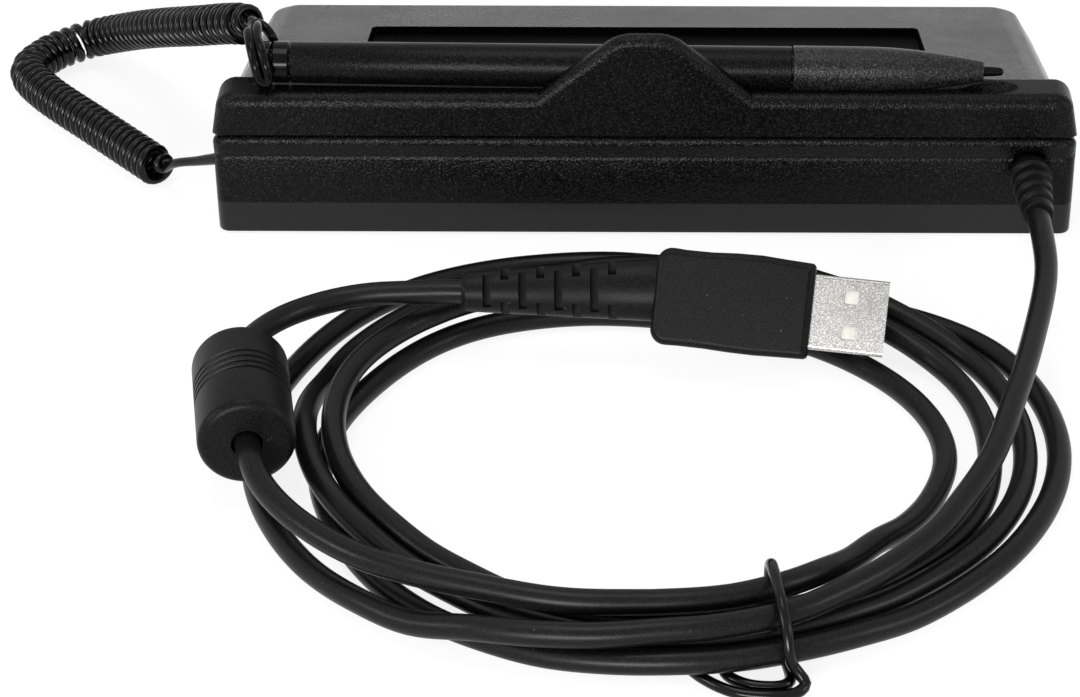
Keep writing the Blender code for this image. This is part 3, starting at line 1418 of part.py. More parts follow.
def make_plug_boot(cutters):
    """The plug's tapered boot with its slots, cut in turn from front and back and from the edges."""
    axis = plug_boot_axis()
    yaw = math.atan2(axis.y, axis.x)
    pitch = -math.asin(axis.z)
    holder = seat("plug_boot_seat", PLUG_BOOT_TIP, (-PLUG_LEAN, pitch, yaw), cutters)
    reach = (plug_boot_root() - PLUG_BOOT_TIP).length + JOIN_DEPTH * 2
    profile = [
        (0.0, reach),
        (PLUG_BOOT_ROOT_RADIUS, reach),
        (PLUG_BOOT_TIP_RADIUS, FIT_GAP),
        (PLUG_BOOT_TIP_RADIUS - FIT_GAP, 0.0),
        (0.0, 0.0),
    ]
    boot = turned("plug_boot", profile, cutters, parent=holder, sides=FINE_SIDES)
    boot.rotation_euler = (0.0, math.pi / 2, 0.0)
    bm = bmesh.new()
    growth = (PLUG_BOOT_ROOT_RADIUS - PLUG_BOOT_TIP_RADIUS) / reach
    for slot in range(PLUG_BOOT_SLOTS):
        at = PLUG_SLOT_START + PLUG_SLOT_PITCH * slot
        radius = PLUG_BOOT_TIP_RADIUS + growth * at
        for side in (-1, 1):
            low, high = sorted((radius * side * SIDE_SLOT_ROOT_SHARE, radius * side * 2))
            half = radius * SIDE_SLOT_HALF_SHARE
            add_box(bm, (at, low, -half), (at + PLUG_SLOT_WIDTH, high, half))
        at += PLUG_SLOT_PITCH / 2
        radius = PLUG_BOOT_TIP_RADIUS + growth * at
        for side in (-1, 1):
            low, high = sorted((radius * side * EDGE_SLOT_ROOT_SHARE, radius * side * 2))
            half = radius * EDGE_SLOT_HALF_SHARE
            add_box(bm, (at, -half, low), (at + PLUG_SLOT_WIDTH, half, high))
    combine(boot, object_from("plug_slots", bm, cutters, parent=holder), "DIFFERENCE")
    return boot


def make_plug_shell(parts, cutters, finish, holder, back):
    """The plug's metal sleeve with its square windows, and the tongue with its contacts."""
    front = PLUG_LENGTH / 2 + SHELL_REACH
    half_y, half_z = SHELL_THICKNESS / 2, SHELL_WIDTH / 2
    bm = bmesh.new()
    add_box(bm, (back, -half_y, -half_z), (front, half_y, half_z))
    sleeve = object_from("plug_shell", bm, parts, finish["nickel"], holder)
    bm = bmesh.new()
    inner_y, inner_z = half_y - SHELL_METAL, half_z - SHELL_METAL
    add_box(bm, (back - CUT_OVERRUN, -inner_y, -inner_z), (front + CUT_OVERRUN, inner_y, inner_z))
    combine(sleeve, object_from("shell_bore", bm, cutters, parent=holder), "DIFFERENCE")
    bm = bmesh.new()
    at = PLUG_LENGTH / 2 + SHELL_WINDOW_REACH
    square = SHELL_WINDOW / 2
    for side in (-1, 1):
        z = SHELL_WINDOW_SPACING / 2 * side
        add_box(bm, (at - square, -half_y * 2, z - square), (at + square, half_y * 2, z + square))
    combine(sleeve, object_from("shell_windows", bm, cutters, parent=holder), "DIFFERENCE")
    bm = bmesh.new()
    room_y, room_z = inner_y - FIT_GAP, inner_z - FIT_GAP
    block_end = back + SHELL_SEAT + FIT_GAP
    add_box(bm, (back + FIT_GAP, -room_y, -room_z), (block_end, room_y, room_z))
    block = object_from("plug_insert", bm, parts, finish["insert"], holder)
    bm = bmesh.new()
    tongue_end = front - TONGUE_SETBACK
    tongue_top = -room_y + TONGUE_THICKNESS
    half = room_z - FIT_GAP
    add_box(bm, (block_end - JOIN_DEPTH, -room_y, -half), (tongue_end, tongue_top, half))
    combine(block, object_from("tongue", bm, cutters, parent=holder), "UNION")
    for number in range(CONTACTS):
        z = CONTACT_SPACING * (number - (CONTACTS - 1) / 2)
        start = (block_end + FIT_GAP, tongue_top + CONTACT_GAP, z - CONTACT_WIDTH / 2)
        end_x = min(block_end + FIT_GAP + CONTACT_LENGTH, tongue_end)
        end = (end_x, tongue_top + CONTACT_GAP + CONTACT_THICKNESS, z + CONTACT_WIDTH / 2)
        bm = bmesh.new()
        add_box(bm, start, end)
        object_from(f"plug_contact_{number + 1}", bm, parts, finish["gold"], holder)


def make_tie(parts, finish):
    """The coated wire twisted round the bundle in front."""
    route = [Vector(point) for point in TIE_ROUTE]
    tube("cable_tie", smooth_route(route, TIE_WIRE / 2), TIE_WIRE, parts, finish)


def main():
    clear_scene()
    parts = new_collection("signature_pad", False)
    cutters = new_collection("cutters", True)
    finish = finishes()
    pen = seat(
        "pen_seat",
        (0.0, REAR_Y + PEN_FROM_REAR, PEN_AXIS_HEIGHT),
        (0.0, math.pi / 2 + PEN_TILT, 0.0),
        cutters,
    )
    make_upper_shell(parts, cutters, finish["case"], pen)
    make_lower_shell(parts, cutters, finish["case"])
    make_sensor_stack(parts, cutters, finish)
    make_board(parts, cutters, finish)
    make_case_screws(parts, finish["steel"])
    make_feet(parts, finish["rubber"])
    make_pen(parts, pen, finish)
    make_tether(parts, finish["tether"])
    make_cable_boot(parts, cutters, finish)
    make_cable(parts, finish["cable"])
    make_ferrite(parts, cutters, finish)
    make_plug(parts, cutters, finish)
    make_tie(parts, finish["tether"])


main()
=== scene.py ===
"""Signature pad with a tethered pen and a coiled data cable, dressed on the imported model."""

import math

import bmesh
import bpy
from mathutils import Euler, Matrix, Vector


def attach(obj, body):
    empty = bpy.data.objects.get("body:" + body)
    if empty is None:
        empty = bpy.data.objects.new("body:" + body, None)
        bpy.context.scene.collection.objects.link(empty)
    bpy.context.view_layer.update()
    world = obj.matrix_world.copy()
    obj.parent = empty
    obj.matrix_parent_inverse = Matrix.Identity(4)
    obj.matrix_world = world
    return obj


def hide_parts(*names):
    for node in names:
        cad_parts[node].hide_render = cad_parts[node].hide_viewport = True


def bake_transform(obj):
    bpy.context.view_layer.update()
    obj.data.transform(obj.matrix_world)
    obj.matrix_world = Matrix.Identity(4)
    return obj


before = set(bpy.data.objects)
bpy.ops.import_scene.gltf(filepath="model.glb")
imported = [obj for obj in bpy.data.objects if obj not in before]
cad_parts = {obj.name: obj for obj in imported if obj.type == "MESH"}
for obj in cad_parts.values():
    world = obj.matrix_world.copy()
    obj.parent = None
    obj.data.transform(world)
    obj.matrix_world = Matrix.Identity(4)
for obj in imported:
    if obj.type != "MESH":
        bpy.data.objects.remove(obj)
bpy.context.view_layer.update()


def metres(*rows):
    """Rows of numbers given in millimetres, in metres."""
    return tuple(tuple(value / 1000 for value in row) for row in rows)


# All lengths are in metres, but for the coil's stations and what stands in metres()

# The photograph's frame and lens
IMAGE_WIDTH = 1080
FOCAL_PIXELS = 3200
AXIS_COLUMN = 644
SENSOR = 36.0
CAMERA_PLACE = (0.0, -0.5068, 0.2828)
CAMERA_DOWN = math.radians(33)
CAMERA_ROLL = math.radians(0.18)

# Housing
HALF_WIDTH = 0.073
REAR_Y = -0.036
FRONT_Y = 0.036
SLOPE = math.atan(0.017952 / 0.072)
PARTING = 0.0192
PARTING_GAP = 0.0004
TOP_AT_REAR = 0.02665
WALL = 0.002
TOP_WALL = 0.0018
CROWN = 0.001
STRIP = 0.003
TOP_EDGE = 0.0007
SIDE_DRAFT = 0.0035
FRONT_DRAFT = 0.0012
FRONT_CORNER = 0.005
REAR_CORNER = 0.002

# Ridge, tab and window
RIDGE_HEIGHT = 0.0269
RIDGE_DEPTH = 0.0082
RIDGE_DRAFT = 0.0014
RIDGE_EDGE = 0.0014
RIDGE_END = 0.0026
RIDGE_ROUND = 0.0022
TAB_HEIGHT = 0.0110
TAB_BASE = 0.0358
TAB_TOP = 0.0090
TAB_THICKNESS = 0.0022
TAB_ROOT = 0.0045
TAB_CORNER = 0.0022
TAB_EDGE = 0.0017
WINDOW_WIDTH = 0.0994
WINDOW_LENGTH = 0.0308
WINDOW_BACK = REAR_Y + 0.020
WINDOW_CORNER = 0.0012

# Lower shell: its rear face swells towards a line, has a ledge above and tucks in below
LINE_HEIGHT = 0.0153
LINE_CUTS = (-0.0004, -0.00015, 0.0001, 0.0004)
LINE_LOW = -0.0003
LINE_HIGH = 0.0002
LINE_DEPTH = 0.0001
LEDGE_TOP = 0.0178
LEDGE_SET_BACK = 0.00045
SWELL_FROM = 0.0100
SWELL_CUTS = 8
TUCK_HEIGHT = 0.0065
TUCK_CUTS = (0.25, 0.4, 0.55, 0.7, 0.82, 0.91, 0.97, 1.0)
TUCK = 0.0003
RIM_EDGE = 0.0013
BASE_EDGE = 0.0003
FOOT_PROUD = 0.0005
NOTCH_HALF = 0.00265
SLIT_HALF = 0.0016
SLIT_TOP = 0.0168

# Holes in the lower shell, as (radius, depth), and how far feet and screws are
# from the middle and from the rear and front faces
LEAD_HOLE = metres((0, 0), (1.1, 0), (1.1, 7), (0, 7))
LEAD_HOLE_OUT = Vector((0.003, 0.0, 0.0))
FOOT_POCKET = metres((0, 0), (4.8, 0), (4.8, 3.3), (0, 3.3))
FEET_AT = (0.051, 0.0095)
SCREW_BORE = metres((0, 0), (2.5, 0), (2.5, 4.2), (1.4, 4.2), (1.4, 6), (0, 6))
SCREWS_AT = (0.062, 0.0135)

# Where the cords leave the housing
BOOT_PLACE = Vector((0.0651, REAR_Y, 0.0136))
BOOT_DROOP = math.radians(1.5)
BOOT_LENGTH = 0.015
BOOT_CLEAR = 0.0006
BOOT_RIBS = 5
BOOT_TIP = 0.0026
BOOT_GROWTH = 0.0011
RIB_DEPTH = 0.0008
RIB_ROUND = 0.0002
BOOT_FLANGE = metres((2.35, 0.3), (2.35, -2.3), (4, -2.3), (4, -4.1), (0, -4.1))
TETHER_PLACE = Vector((-HALF_WIDTH, REAR_Y + 0.007, 0.0111))

# Pen, and the scoop beside its tip
PEN_SEAT = Vector((0.0, REAR_Y + 0.0063, 0.02946))
PEN_TILT = math.radians(0.68)
SCOOP_PLACE = Vector((0.0571, REAR_Y + 0.0042, 0.0285))
SCOOP_SIZE = Vector((0.0067, 0.0029, 0.0032))

# Cable. A coil station is the angle and each turn's distance from the centre and height.
CABLE = 0.0038
CABLE_SIDES = 22
CABLE_STEP = 0.0016
CABLE_PASSES = 10
CABLE_TUCK = 0.0015
COIL_CENTRE = Vector((0.0040, -0.1040, 0.0))
COIL_STATIONS = (
    (-90, ((45.2, 8.1), (53.3, 3.8), (44.6, 3.8), (48.9, 3.8))),
    (-68, ((44.2, 8.1), (53.3, 3.8), (44.7, 3.8), (49, 3.8))),
    (-45, ((39.7, 4.6), (53.7, 1.9), (45.2, 1.9), (49.5, 2.8))),
    (-22, ((40.6, 1.9), (56.8, 1.9), (48.2, 1.9), (52.5, 2.5))),
    (0, ((42.5, 1.9), (59.9, 1.9), (49.2, 1.9), (54.7, 1.9))),
    (22, ((41.3, 1.9), (60.4, 1.9), (50.2, 1.9), (55.4, 1.9))),
    (34, ((40.1, 1.9), (58.9, 1.9), (49, 2.8), (54.4, 2.3))),
    (45, ((39.3, 1.9), (55.2, 1.9), (46, 5.6), (50.4, 6.2))),
    (65, ((38.4, 1.9), (50.2, 1.9), (45.6, 6.3), (50, 6.3))),
    (90, ((39, 1.9), (46.3, 1.9), (47.8, 6.3), (54, 2.6))),
    (115, ((43.6, 1.9), (47.4, 4.8), (54.6, 3.2), (60.2, 1.9))),
    (135, ((48.1, 1.9), (49.7, 6.3), (57.9, 1.9), (64, 1.9))),
    (158, ((50.6, 1.9), (52.6, 6.3), (58, 1.9), (64.2, 1.9))),
    (180, ((53.4, 1.9), (51.5, 6.3), (55.9, 6.2), (64, 1.9))),
    (205, ((53.3, 1.9), (48.2, 6), (52.5, 6.3), (61.1, 1.9))),
    (225, ((53.6, 1.9), (45.4, 4.6), (49.7, 4.6), (58.4, 3))),
    (247, ((53.5, 2.6), (44.7, 3.8), (49, 3.8), (55.3, 7.2))),
)
COIL_TURNS = 4
COIL_POINTS = 36
COIL_END = (0.0511, 0.0078)
LEAD_ROUTE = metres(
    (65.3, -59, 12.7), (65.1, -66, 12.1), (63.9, -72.8, 11.6), (61.7, -82.2, 11),
    (59.3, -91.7, 10.6), (56.6, -100.9, 10.2), (53.1, -112.3, 9.2), (50, -119, 8.5),
    (46.1, -125.8, 8), (42.9, -131.6, 7.8), (38.3, -136.8, 7.8), (33.9, -141.7, 7.8),
    (28, -146.2, 7.8), (20.5, -151.4, 7.8),
)
TAIL_ROUTE_TO_BEAD = metres(
    (-11.6, -149.6, 8.5), (-23, -146.6, 8.7), (-32.5, -143.7, 8.8), (-41.6, -139.3, 9),
    (-49.6, -132.8, 9.6), (-54.6, -127, 10.3), (-57.3, -122.3, 11),
)
TAIL_ROUTE_TO_PLUG = metres(
    (-62, -86.8, 11.2), (-60.1, -82.4, 11), (-57.3, -79.1, 10.9), (-53.1, -75.7, 10.8),
    (-48.5, -73.5, 10.9), (-43.7, -72.6, 11.2), (-38.8, -72.8, 11.5),
)
BEAD_CENTRE = Vector((-0.0607, -0.1048, 0.0116))
BEAD_YAW = math.radians(-9)
BEAD_LENGTH = 0.022
BEAD_RUN = 0.64
BEAD_RADIUS = 0.0074
BEAD_BORE = 0.0024
BEAD_EDGE = 0.0014
BEAD_ROOM = (0.0056, 0.0074)
BEAD_GROOVES = 4
BEAD_GROOVE_PITCH = 0.0015
BEAD_GROOVE = 0.0004

# Plug
PLUG_CENTRE = Vector((0.0142, -0.0756, 0.0114))
PLUG_ROLL = -math.radians(33)
PLUG_TURN = Euler((PLUG_ROLL, math.radians(3.1), -math.radians(6.3)))
PLUG_SIZE = Vector((0.0252, 0.0080, 0.0156))
PLUG_BACK_EDGE = 0.0026
PLUG_FRONT_EDGE = 0.0007
PLUG_RIM_EDGE = 0.0012
PLUG_CUTS = (-0.008, -0.004, 0.0, 0.004, 0.008)
WAVE = 0.00022
WAVE_LENGTH = 0.0260 / 1.4
WAVE_START = 0.6
WAVE_BELOW = -0.6
PLUG_BOOT_TIP = Vector((-0.0290, -0.0733, 0.0120))
PLUG_BOOT_RISE = 0.0008
PLUG_BOOT_INTO = 0.0012
PLUG_BOOT_ROOT = 0.0051
PLUG_BOOT_END = 0.0030
PLUG_BOOT_THIN = 0.00336
SLOTS = 4
SLOT_FROM = 0.0034
SLOT_PITCH = 0.0057
SLOT_WIDTH = 0.0013
SLOT_BETWEEN = 0.00285
SLOT_CORE = 0.1
SLOT_REACH = 0.8
EDGE_SLOT_FROM = 0.55
SHELL_SEAT = 0.003
SHELL_EDGE = 0.0006
METAL = 0.0003
SLACK = 0.0003
PLUG_FACE = PLUG_SIZE.x / 2
SLEEVE_BACK = PLUG_FACE - SHELL_SEAT + SLACK
SLEEVE_FRONT = PLUG_FACE + 0.0118
SLEEVE_HALF_Y = 0.0045 / 2
SLEEVE_HALF_Z = 0.0120 / 2
BORE_EDGE = 0.0004
SLEEVE_WINDOW_AT = 0.006
SLEEVE_WINDOW_SIDE = 0.0028
SLEEVE_WINDOW_HALF = 0.0011
SLEEVE_WINDOW_CORNER = 0.00025
SEAM_SIDES = (-0.0003, -0.00008)
SEAM_DEPTH = 0.0002
TONGUE_BLOCK = 0.0033
TONGUE_THICKNESS = 0.0018
TONGUE_SHORT = 0.0008
TONGUE_GAP = 0.0001
TONGUE_EDGE = 0.0003

# Tether
WIRE = 0.0016
CURL_RADIUS = 0.00285
CURLS = 60
CURL_POINTS = 20
CURL_OPENING = 0.2
BEND_SHARE = 0.5
BEND_WINDOW = 9
HANG_STRETCH = 0.6
HANG_FROM = 0.008
HANG_FULL = 0.017
LEAD_FULLER = 0.00025
LEAD_PAST = 0.2
LEAD_STEP = 0.0005
HOOK_WIRE = 0.0017
HOOK_STEP = 0.0004
TETHER_CURL_ROUTE = metres(
    (-66.8, -21.3, 33), (-72, -13.5, 29), (-77.7, -5.5, 24.5), (-87.1, 10.1, 16),
    (-94.7, 21.3, 9.5), (-102.7, 27.3, 5), (-107.2, 25.9, 4.1), (-110.9, 22.7, 3.8),
    (-113.4, 15.8, 3.8), (-109, 7.7, 3.8), (-97.6, -5.3, 3.8), (-86, -18.4, 3.8),
    (-84.9, -19.6, 3.8),
)
TETHER_LEAD_ROUTE = metres((-81.5, -22.6, 6.5), (-77, -26, 8.9))
TETHER_START = metres((-65.8, -23.6, 34), (-66.5, -22.5, 34.1))
HITCH_ROUTE = metres(
    (-62.1, -27.5, 29.2), (-62.6, -24.9, 30.2), (-62.9, -25.2, 32.4), (-64.1, -24.3, 33.8),
    (-65.6, -23.1, 34), (-66.6, -24.3, 34.1), (-66.7, -26.2, 34.4), (-66.4, -29, 35),
    (-65.7, -32.2, 34.3), (-65, -34.1, 32.2), (-64.6, -34.6, 30.5), (-64.1, -34.6, 29.3),
    (-63.3, -34.5, 28.8), (-62.8, -34.6, 29.4), (-62.8, -34.7, 30.7), (-63.3, -34.2, 32.4),
    (-64.1, -32.5, 34.2), (-64.9, -30, 34.9), (-65.1, -27.2, 35.1), (-65.4, -24.7, 34.5),
    (-65.6, -23.2, 33.6),
)
TIE_WIRE = 0.0017
TIE_STEP = 0.0007
TIE_ROUTE = metres(
    (6.6, -155.2, 0.97), (8.1, -157, 0.97), (10.4, -159, 0.97), (12.9, -160.4, 0.97),
    (15.5, -161, 0.97), (18.5, -161.1, 0.97), (21.4, -160.4, 1), (22.6, -159, 1.4),
    (21.8, -158.1, 2.4), (20.7, -157.6, 3.8), (20.3, -157.4, 5.6), (20, -156.1, 8),
    (19.6, -154.3, 9.7), (19.2, -152.1, 10.8), (18.8, -149, 11), (18.4, -146, 11.1),
    (18.1, -143.2, 10.4), (18, -142.2, 8.2), (18.1, -142.4, 3.7), (18.4, -143.3, 1.6),
    (18.7, -145.5, 0.97), (19.3, -150, 0.97), (20.3, -154.5, 0.97), (20.6, -157.4, 1),
    (19.5, -158.9, 1), (17, -159.1, 0.97), (14.5, -158.6, 0.97), (12.3, -157.2, 0.97),
    (11.2, -155.5, 0.97),
)

# Light. A lamp is its name, place, aim, size and power.
FLOOR_COLOUR = 0.25
FLOOR_GLOW = 0.86
FLOOR_SIZE = 3.0
FLOOR_BELOW = 0.00002
SKY_FILL = 0.45
LAMPS = (
    ("overhead", (-0.10, -0.05, 0.9), (0.0, -0.05, 0.0), (0.45, 0.30), 1.6),
    ("front", (-0.20, -0.95, 0.22), (-0.02, -0.05, 0.01), (0.45, 0.22), 6.4),
    ("left", (-0.95, -0.45, 0.48), (0.0, -0.05, 0.01), (0.3, 0.3), 2.6),
    ("right", (0.95, -0.40, 0.48), (0.0, -0.05, 0.01), (0.3, 0.3), 2.0),
)

UP = Vector((0.0, 0.0, 1.0))
ALONG = Vector((1.0, 0.0, 0.0))
TINY = 0.0001
MILLIMETRE = 0.001
PAST = 0.002


# Lines

def curve_through(points, steps=16):
    """For each stretch between two of the points, points of a smooth curve through them all."""
    points = [Vector(point) for point in points]
    ends = [points[0] * 2 - points[1]] + points + [points[-1] * 2 - points[-2]]
    stretches = []
    for a, b, c, d in zip(ends, ends[1:], ends[2:], ends[3:]):
        bend, twist = a * 2 - b * 5 + c * 4 - d, b * 3 - a - c * 3 + d
        shares = [step / steps for step in range(steps + 1)]
        stretches.append([b + ((c - a) * t + bend * t**2 + twist * t**3) / 2 for t in shares])
    return stretches


def even_steps(lengths, count):
    """For equal steps of a running length, the stretch each falls in and its share of it."""
    index = 0
    for step in range(count + 1):
        target = lengths[-1] * step / count
        while index < len(lengths) - 2 and lengths[index + 1] < target:
            index += 1
        yield index, (target - lengths[index]) / (lengths[index + 1] - lengths[index])


def smooth_line(points, spacing):
    """Points at equal distances along a smooth curve through the given ones."""
    stretches = curve_through(points)
    fine = [point for stretch in stretches for point in stretch[:-1]] + [stretches[-1][-1]]
    lengths = [0.0]
    for a, b in zip(fine, fine[1:]):
        lengths.append(lengths[-1] + (b - a).length)
    count = max(2, round(lengths[-1] / spacing))
    return [fine[i].lerp(fine[i + 1], share) for i, share in even_steps(lengths, count)]


def steadied(points, passes):
    """The line with small wobbles averaged out sideways. Its heights and its ends stay."""
    for _ in range(passes):
        moved = [point.copy() for point in points]
        for i in range(2, len(points) - 2):
            mean = (points[i - 1] + points[i] * 2 + points[i + 1]) / 4
            moved[i].xy = mean.xy
        points = moved
    return points


def line_length(points):
    return sum((b - a).length for a, b in zip(points, points[1:]))


def eased(share):
    return share * share * (3 - 2 * share)


def coil_line():
    """The coil's stations one after another, as (angle gone round, distance, height)."""
    line = []
    for turn in range(COIL_TURNS):
        for angle, strands in COIL_STATIONS:
            turned = angle - COIL_STATIONS[0][0] + 360 * turn
            line.append((turned, *metres(strands[turn])[0]))
    line.append((360 * COIL_TURNS, *COIL_END))
    return line


def coil_sample(line, angle):
    """Distance and height of the wound strand this many degrees round."""
    last = len(line) - 1
    index = max(i for i in range(last) if line[i][0] <= angle)
    start, end = line[index], line[index + 1]
    span = end[0] - start[0]
    t = (angle - start[0]) / span

    def trend(i):
        low, high = line[max(0, i - 1)], line[min(last, i + 1)]
        return (high[1] - low[1]) / (high[0] - low[0]) * span

    distance = start[1] + (end[1] - start[1]) * eased(t)
    distance += trend(index) * t * (1 - t) ** 2 - trend(index + 1) * t**2 * (1 - t)
    return distance, start[2] + (end[2] - start[2]) * eased(t)


def coil_points():
    """The coil's centre line, from its first station to its end."""
    line = coil_line()
    made = []
    for step in range(COIL_POINTS * COIL_TURNS + 1):
        angle = 360 * step / COIL_POINTS
        distance, height = coil_sample(line, angle)
        turn = math.radians(angle + COIL_STATIONS[0][0])
        outwards = Vector((math.cos(turn), math.sin(turn), 0.0))
        made.append(COIL_CENTRE + outwards * distance + UP * height)
    return made


# Meshes

def link(obj):
    bpy.context.scene.collection.objects.link(obj)
    return obj


def finished(name, bm, material, sharp=35):
    """The bmesh as an object with smooth shading up to this angle."""
    bmesh.ops.recalc_face_normals(bm, faces=bm.faces)
    mesh = bpy.data.meshes.new(name)
    bm.to_mesh(mesh)
    bm.free()
    mesh.shade_smooth()
    mesh.set_sharp_from_angle(angle=math.radians(sharp))
    if material:
        mesh.materials.append(material)
    return link(bpy.data.objects.new(name, mesh))


def bevel(bm, edges, radius, steps):
    bmesh.ops.bevel(
        bm, geom=edges, offset=radius, segments=steps, profile=0.5, affect="EDGES", material=-1
    )


def box(bm, low, high):
    low, high = Vector(low), Vector(high)
    made = bmesh.ops.create_cube(bm, size=1)["verts"]
    bmesh.ops.scale(bm, vec=high - low, verts=made)
    bmesh.ops.translate(bm, vec=(low + high) / 2, verts=made)


def edges_where(bm, keep):
    return [edge for edge in bm.edges if keep(edge.verts[0].co, edge.verts[1].co)]


def edges_along(bm, axis):
    """The edges that run along this axis (0, 1 or 2) for more than a millimetre."""
    return edges_where(bm, lambda a, b: abs(a[axis] - b[axis]) > MILLIMETRE)


def is_upright(a, b):
    return (a - b).xy.length < abs(a.z - b.z) / 2


def score(bm, places, way):
    """Cuts new edges all round the mesh at these distances along a direction."""
    for place in places:
        everything = list(bm.verts) + list(bm.edges) + list(bm.faces)
        bmesh.ops.bisect_plane(bm, geom=everything, plane_co=way * place, plane_no=way)


def block(name, low, high, axis=0, radius=0.0, steps=1, material=None):
    """A box. With a radius, its edges along one axis are rounded."""
    bm = bmesh.new()
    box(bm, low, high)
    if radius:
        bevel(bm, edges_along(bm, axis), radius, steps)
    return finished(name, bm, material)


def drop_at(y):
    return math.tan(SLOPE) * (y - REAR_Y)


def combine(obj, steps):
    """Joins (UNION) or cuts (DIFFERENCE) other objects into this one, and bakes the result."""
    for other, operation in steps:
        modifier = obj.modifiers.new(other.name, "BOOLEAN")
        modifier.operation = operation
        modifier.object = other
        modifier.solver = "EXACT"
    bpy.context.view_layer.update()
    graph = bpy.context.evaluated_depsgraph_get()
    baked = bpy.data.meshes.new_from_object(obj.evaluated_get(graph))
    obj.modifiers.clear()
    obj.data = baked
    for other, _ in steps:
        bpy.data.objects.remove(other)
    baked.shade_smooth()
    baked.set_sharp_from_angle(angle=math.radians(35))
    weight = obj.modifiers.new("even_shading", "WEIGHTED_NORMAL")
    weight.keep_sharp = True


def lathe(name, profile, place, sides, material, ring=False, sharp=35):
    """A turned body. The profile is (radius, distance along local Z), and closed for a ring."""
    bm = bmesh.new()
    corners = [bm.verts.new((radius, 0.0, along)) for radius, along in profile]
    pairs = list(zip(corners, corners[1:]))
    if ring:
        pairs.append((corners[-1], corners[0]))
    outline = [bm.edges.new(pair) for pair in pairs]
    bmesh.ops.spin(
        bm,
        geom=corners + outline,
        cent=(0.0, 0.0, 0.0),
        axis=(0.0, 0.0, 1.0),
        angle=math.tau,
        steps=sides,
        use_merge=True,
    )
    bmesh.ops.remove_doubles(bm, verts=bm.verts, dist=TINY / 100)
    bmesh.ops.transform(bm, matrix=place, verts=bm.verts)
    return finished(name, bm, material, sharp)


def sweep(name, points, radius, sides, material, rounded=False):
    """A round tube along the points. radius is a number or a function of the share of the way."""
    bm = bmesh.new()
    side = (points[1] - points[0]).orthogonal().normalized()
    rings = []
    last = len(points) - 1
    size = radius if callable(radius) else (lambda share: radius)
    for i, point in enumerate(points):
        heading = (points[min(last, i + 1)] - points[max(0, i - 1)]).normalized()
        side = (side - heading * side.dot(heading)).normalized()
        other = heading.cross(side)
        reach = size(i / last)
        rings.append(
            [
                bm.verts.new(point + (side * math.cos(a) + other * math.sin(a)) * reach)
                for a in (math.tau * k / sides for k in range(sides))
            ]
        )
    for a, b in zip(rings, rings[1:]):
        for i in range(sides):
            j = (i + 1) % sides
            bm.faces.new((a[i], a[j], b[j], b[i]))
    caps = [bm.faces.new(list(reversed(rings[0]))), bm.faces.new(rings[-1])]
    if rounded:
        rims = [edge for face in caps for edge in face.edges]
        bevel(bm, rims, size(0.0) * 0.6, 4)
    return finished(name, bm, material, 50)


def placed(place, *turns):
    """The matrix that turns by these angles about X, Y and Z, then moves to a place."""
    return Matrix.Translation(place) @ Euler(turns).to_matrix().to_4x4()


def fit(piece, body, slot, *nodes):
    """Puts a piece in the place of these solids, on a body. The slot is not used."""
    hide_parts(*nodes)
    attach(piece, body)
    return piece


# Materials

# The stretch of the fine noise that becomes light specks in colour: the grain's own tone and
# painted glints
PEAKS = (0.46, 0.74)
PATCHES = (0.3, 0.7)
DUST_COLOUR = (0.5, 0.5, 0.48, 1.0)
DUSTY_SHARE = 0.60


def put(made, values):
    """Sets inputs of a node, by name or number."""
    for key, value in values.items():
        made.inputs[key].default_value = value


def node(tree, kind, values=None, **settings):
    made = tree.nodes.new(kind)
    for key, value in settings.items():
        setattr(made, key, value)
    put(made, values or {})
    return made


def join(source, output, target, into):
    source.id_data.links.new(source.outputs[output], target.inputs[into])


def map_range(tree, span, target=(0.0, 1.0)):
    names = ("From Min", "From Max", "To Min", "To Max")
    return node(tree, "ShaderNodeMapRange", dict(zip(names, (*span, *target))))


def new_group(name, inputs, outputs):
    """A node group with these inputs and outputs: its tree and its two end nodes."""
    tree = bpy.data.node_groups.new(name, "ShaderNodeTree")
    for label, value in inputs.items():
        socket = tree.interface.new_socket(label, in_out="INPUT", socket_type="NodeSocketFloat")
        socket.default_value = value
    for label, kind in outputs.items():
        tree.interface.new_socket(label, in_out="OUTPUT", socket_type=kind)
    return tree, tree.nodes.new("NodeGroupInput"), tree.nodes.new("NodeGroupOutput")


def make_grain_group():
    """Moulded grain: the peaks of a fine noise as a mask, its normal, and broad patches. Where the
    mask lightens a colour, its light specks are partly painted glints.
    """
    tree, source, target = new_group(
        "moulded_grain_and_glints",
        {"Scale": 3000.0, "Relief": 0.3, "Depth": 0.00006},
        {"Grain and glints": "NodeSocketFloat", "Patches": "NodeSocketFloat", "Normal": "NodeSocketVector"},
    )
    place = node(tree, "ShaderNodeTexCoord")
    fine = node(tree, "ShaderNodeTexNoise", {"Detail": 1.0, "Roughness": 0.6})
    peaks = map_range(tree, PEAKS)
    broad = {"Scale": 55.0, "Detail": 4.0, "Roughness": 0.55}
    patches = node(tree, "ShaderNodeTexNoise", broad)
    bump = node(tree, "ShaderNodeBump")
    join(place, "Object", fine, "Vector")
    join(place, "Object", patches, "Vector")
    join(source, "Scale", fine, "Scale")
    join(source, "Relief", bump, "Strength")
    join(source, "Depth", bump, "Distance")
    join(fine, "Fac", bump, "Height")
    join(fine, "Fac", peaks, "Value")
    join(peaks, "Result", target, "Grain and glints")
    join(patches, "Fac", target, "Patches")
    join(bump, "Normal", target, "Normal")
    return tree


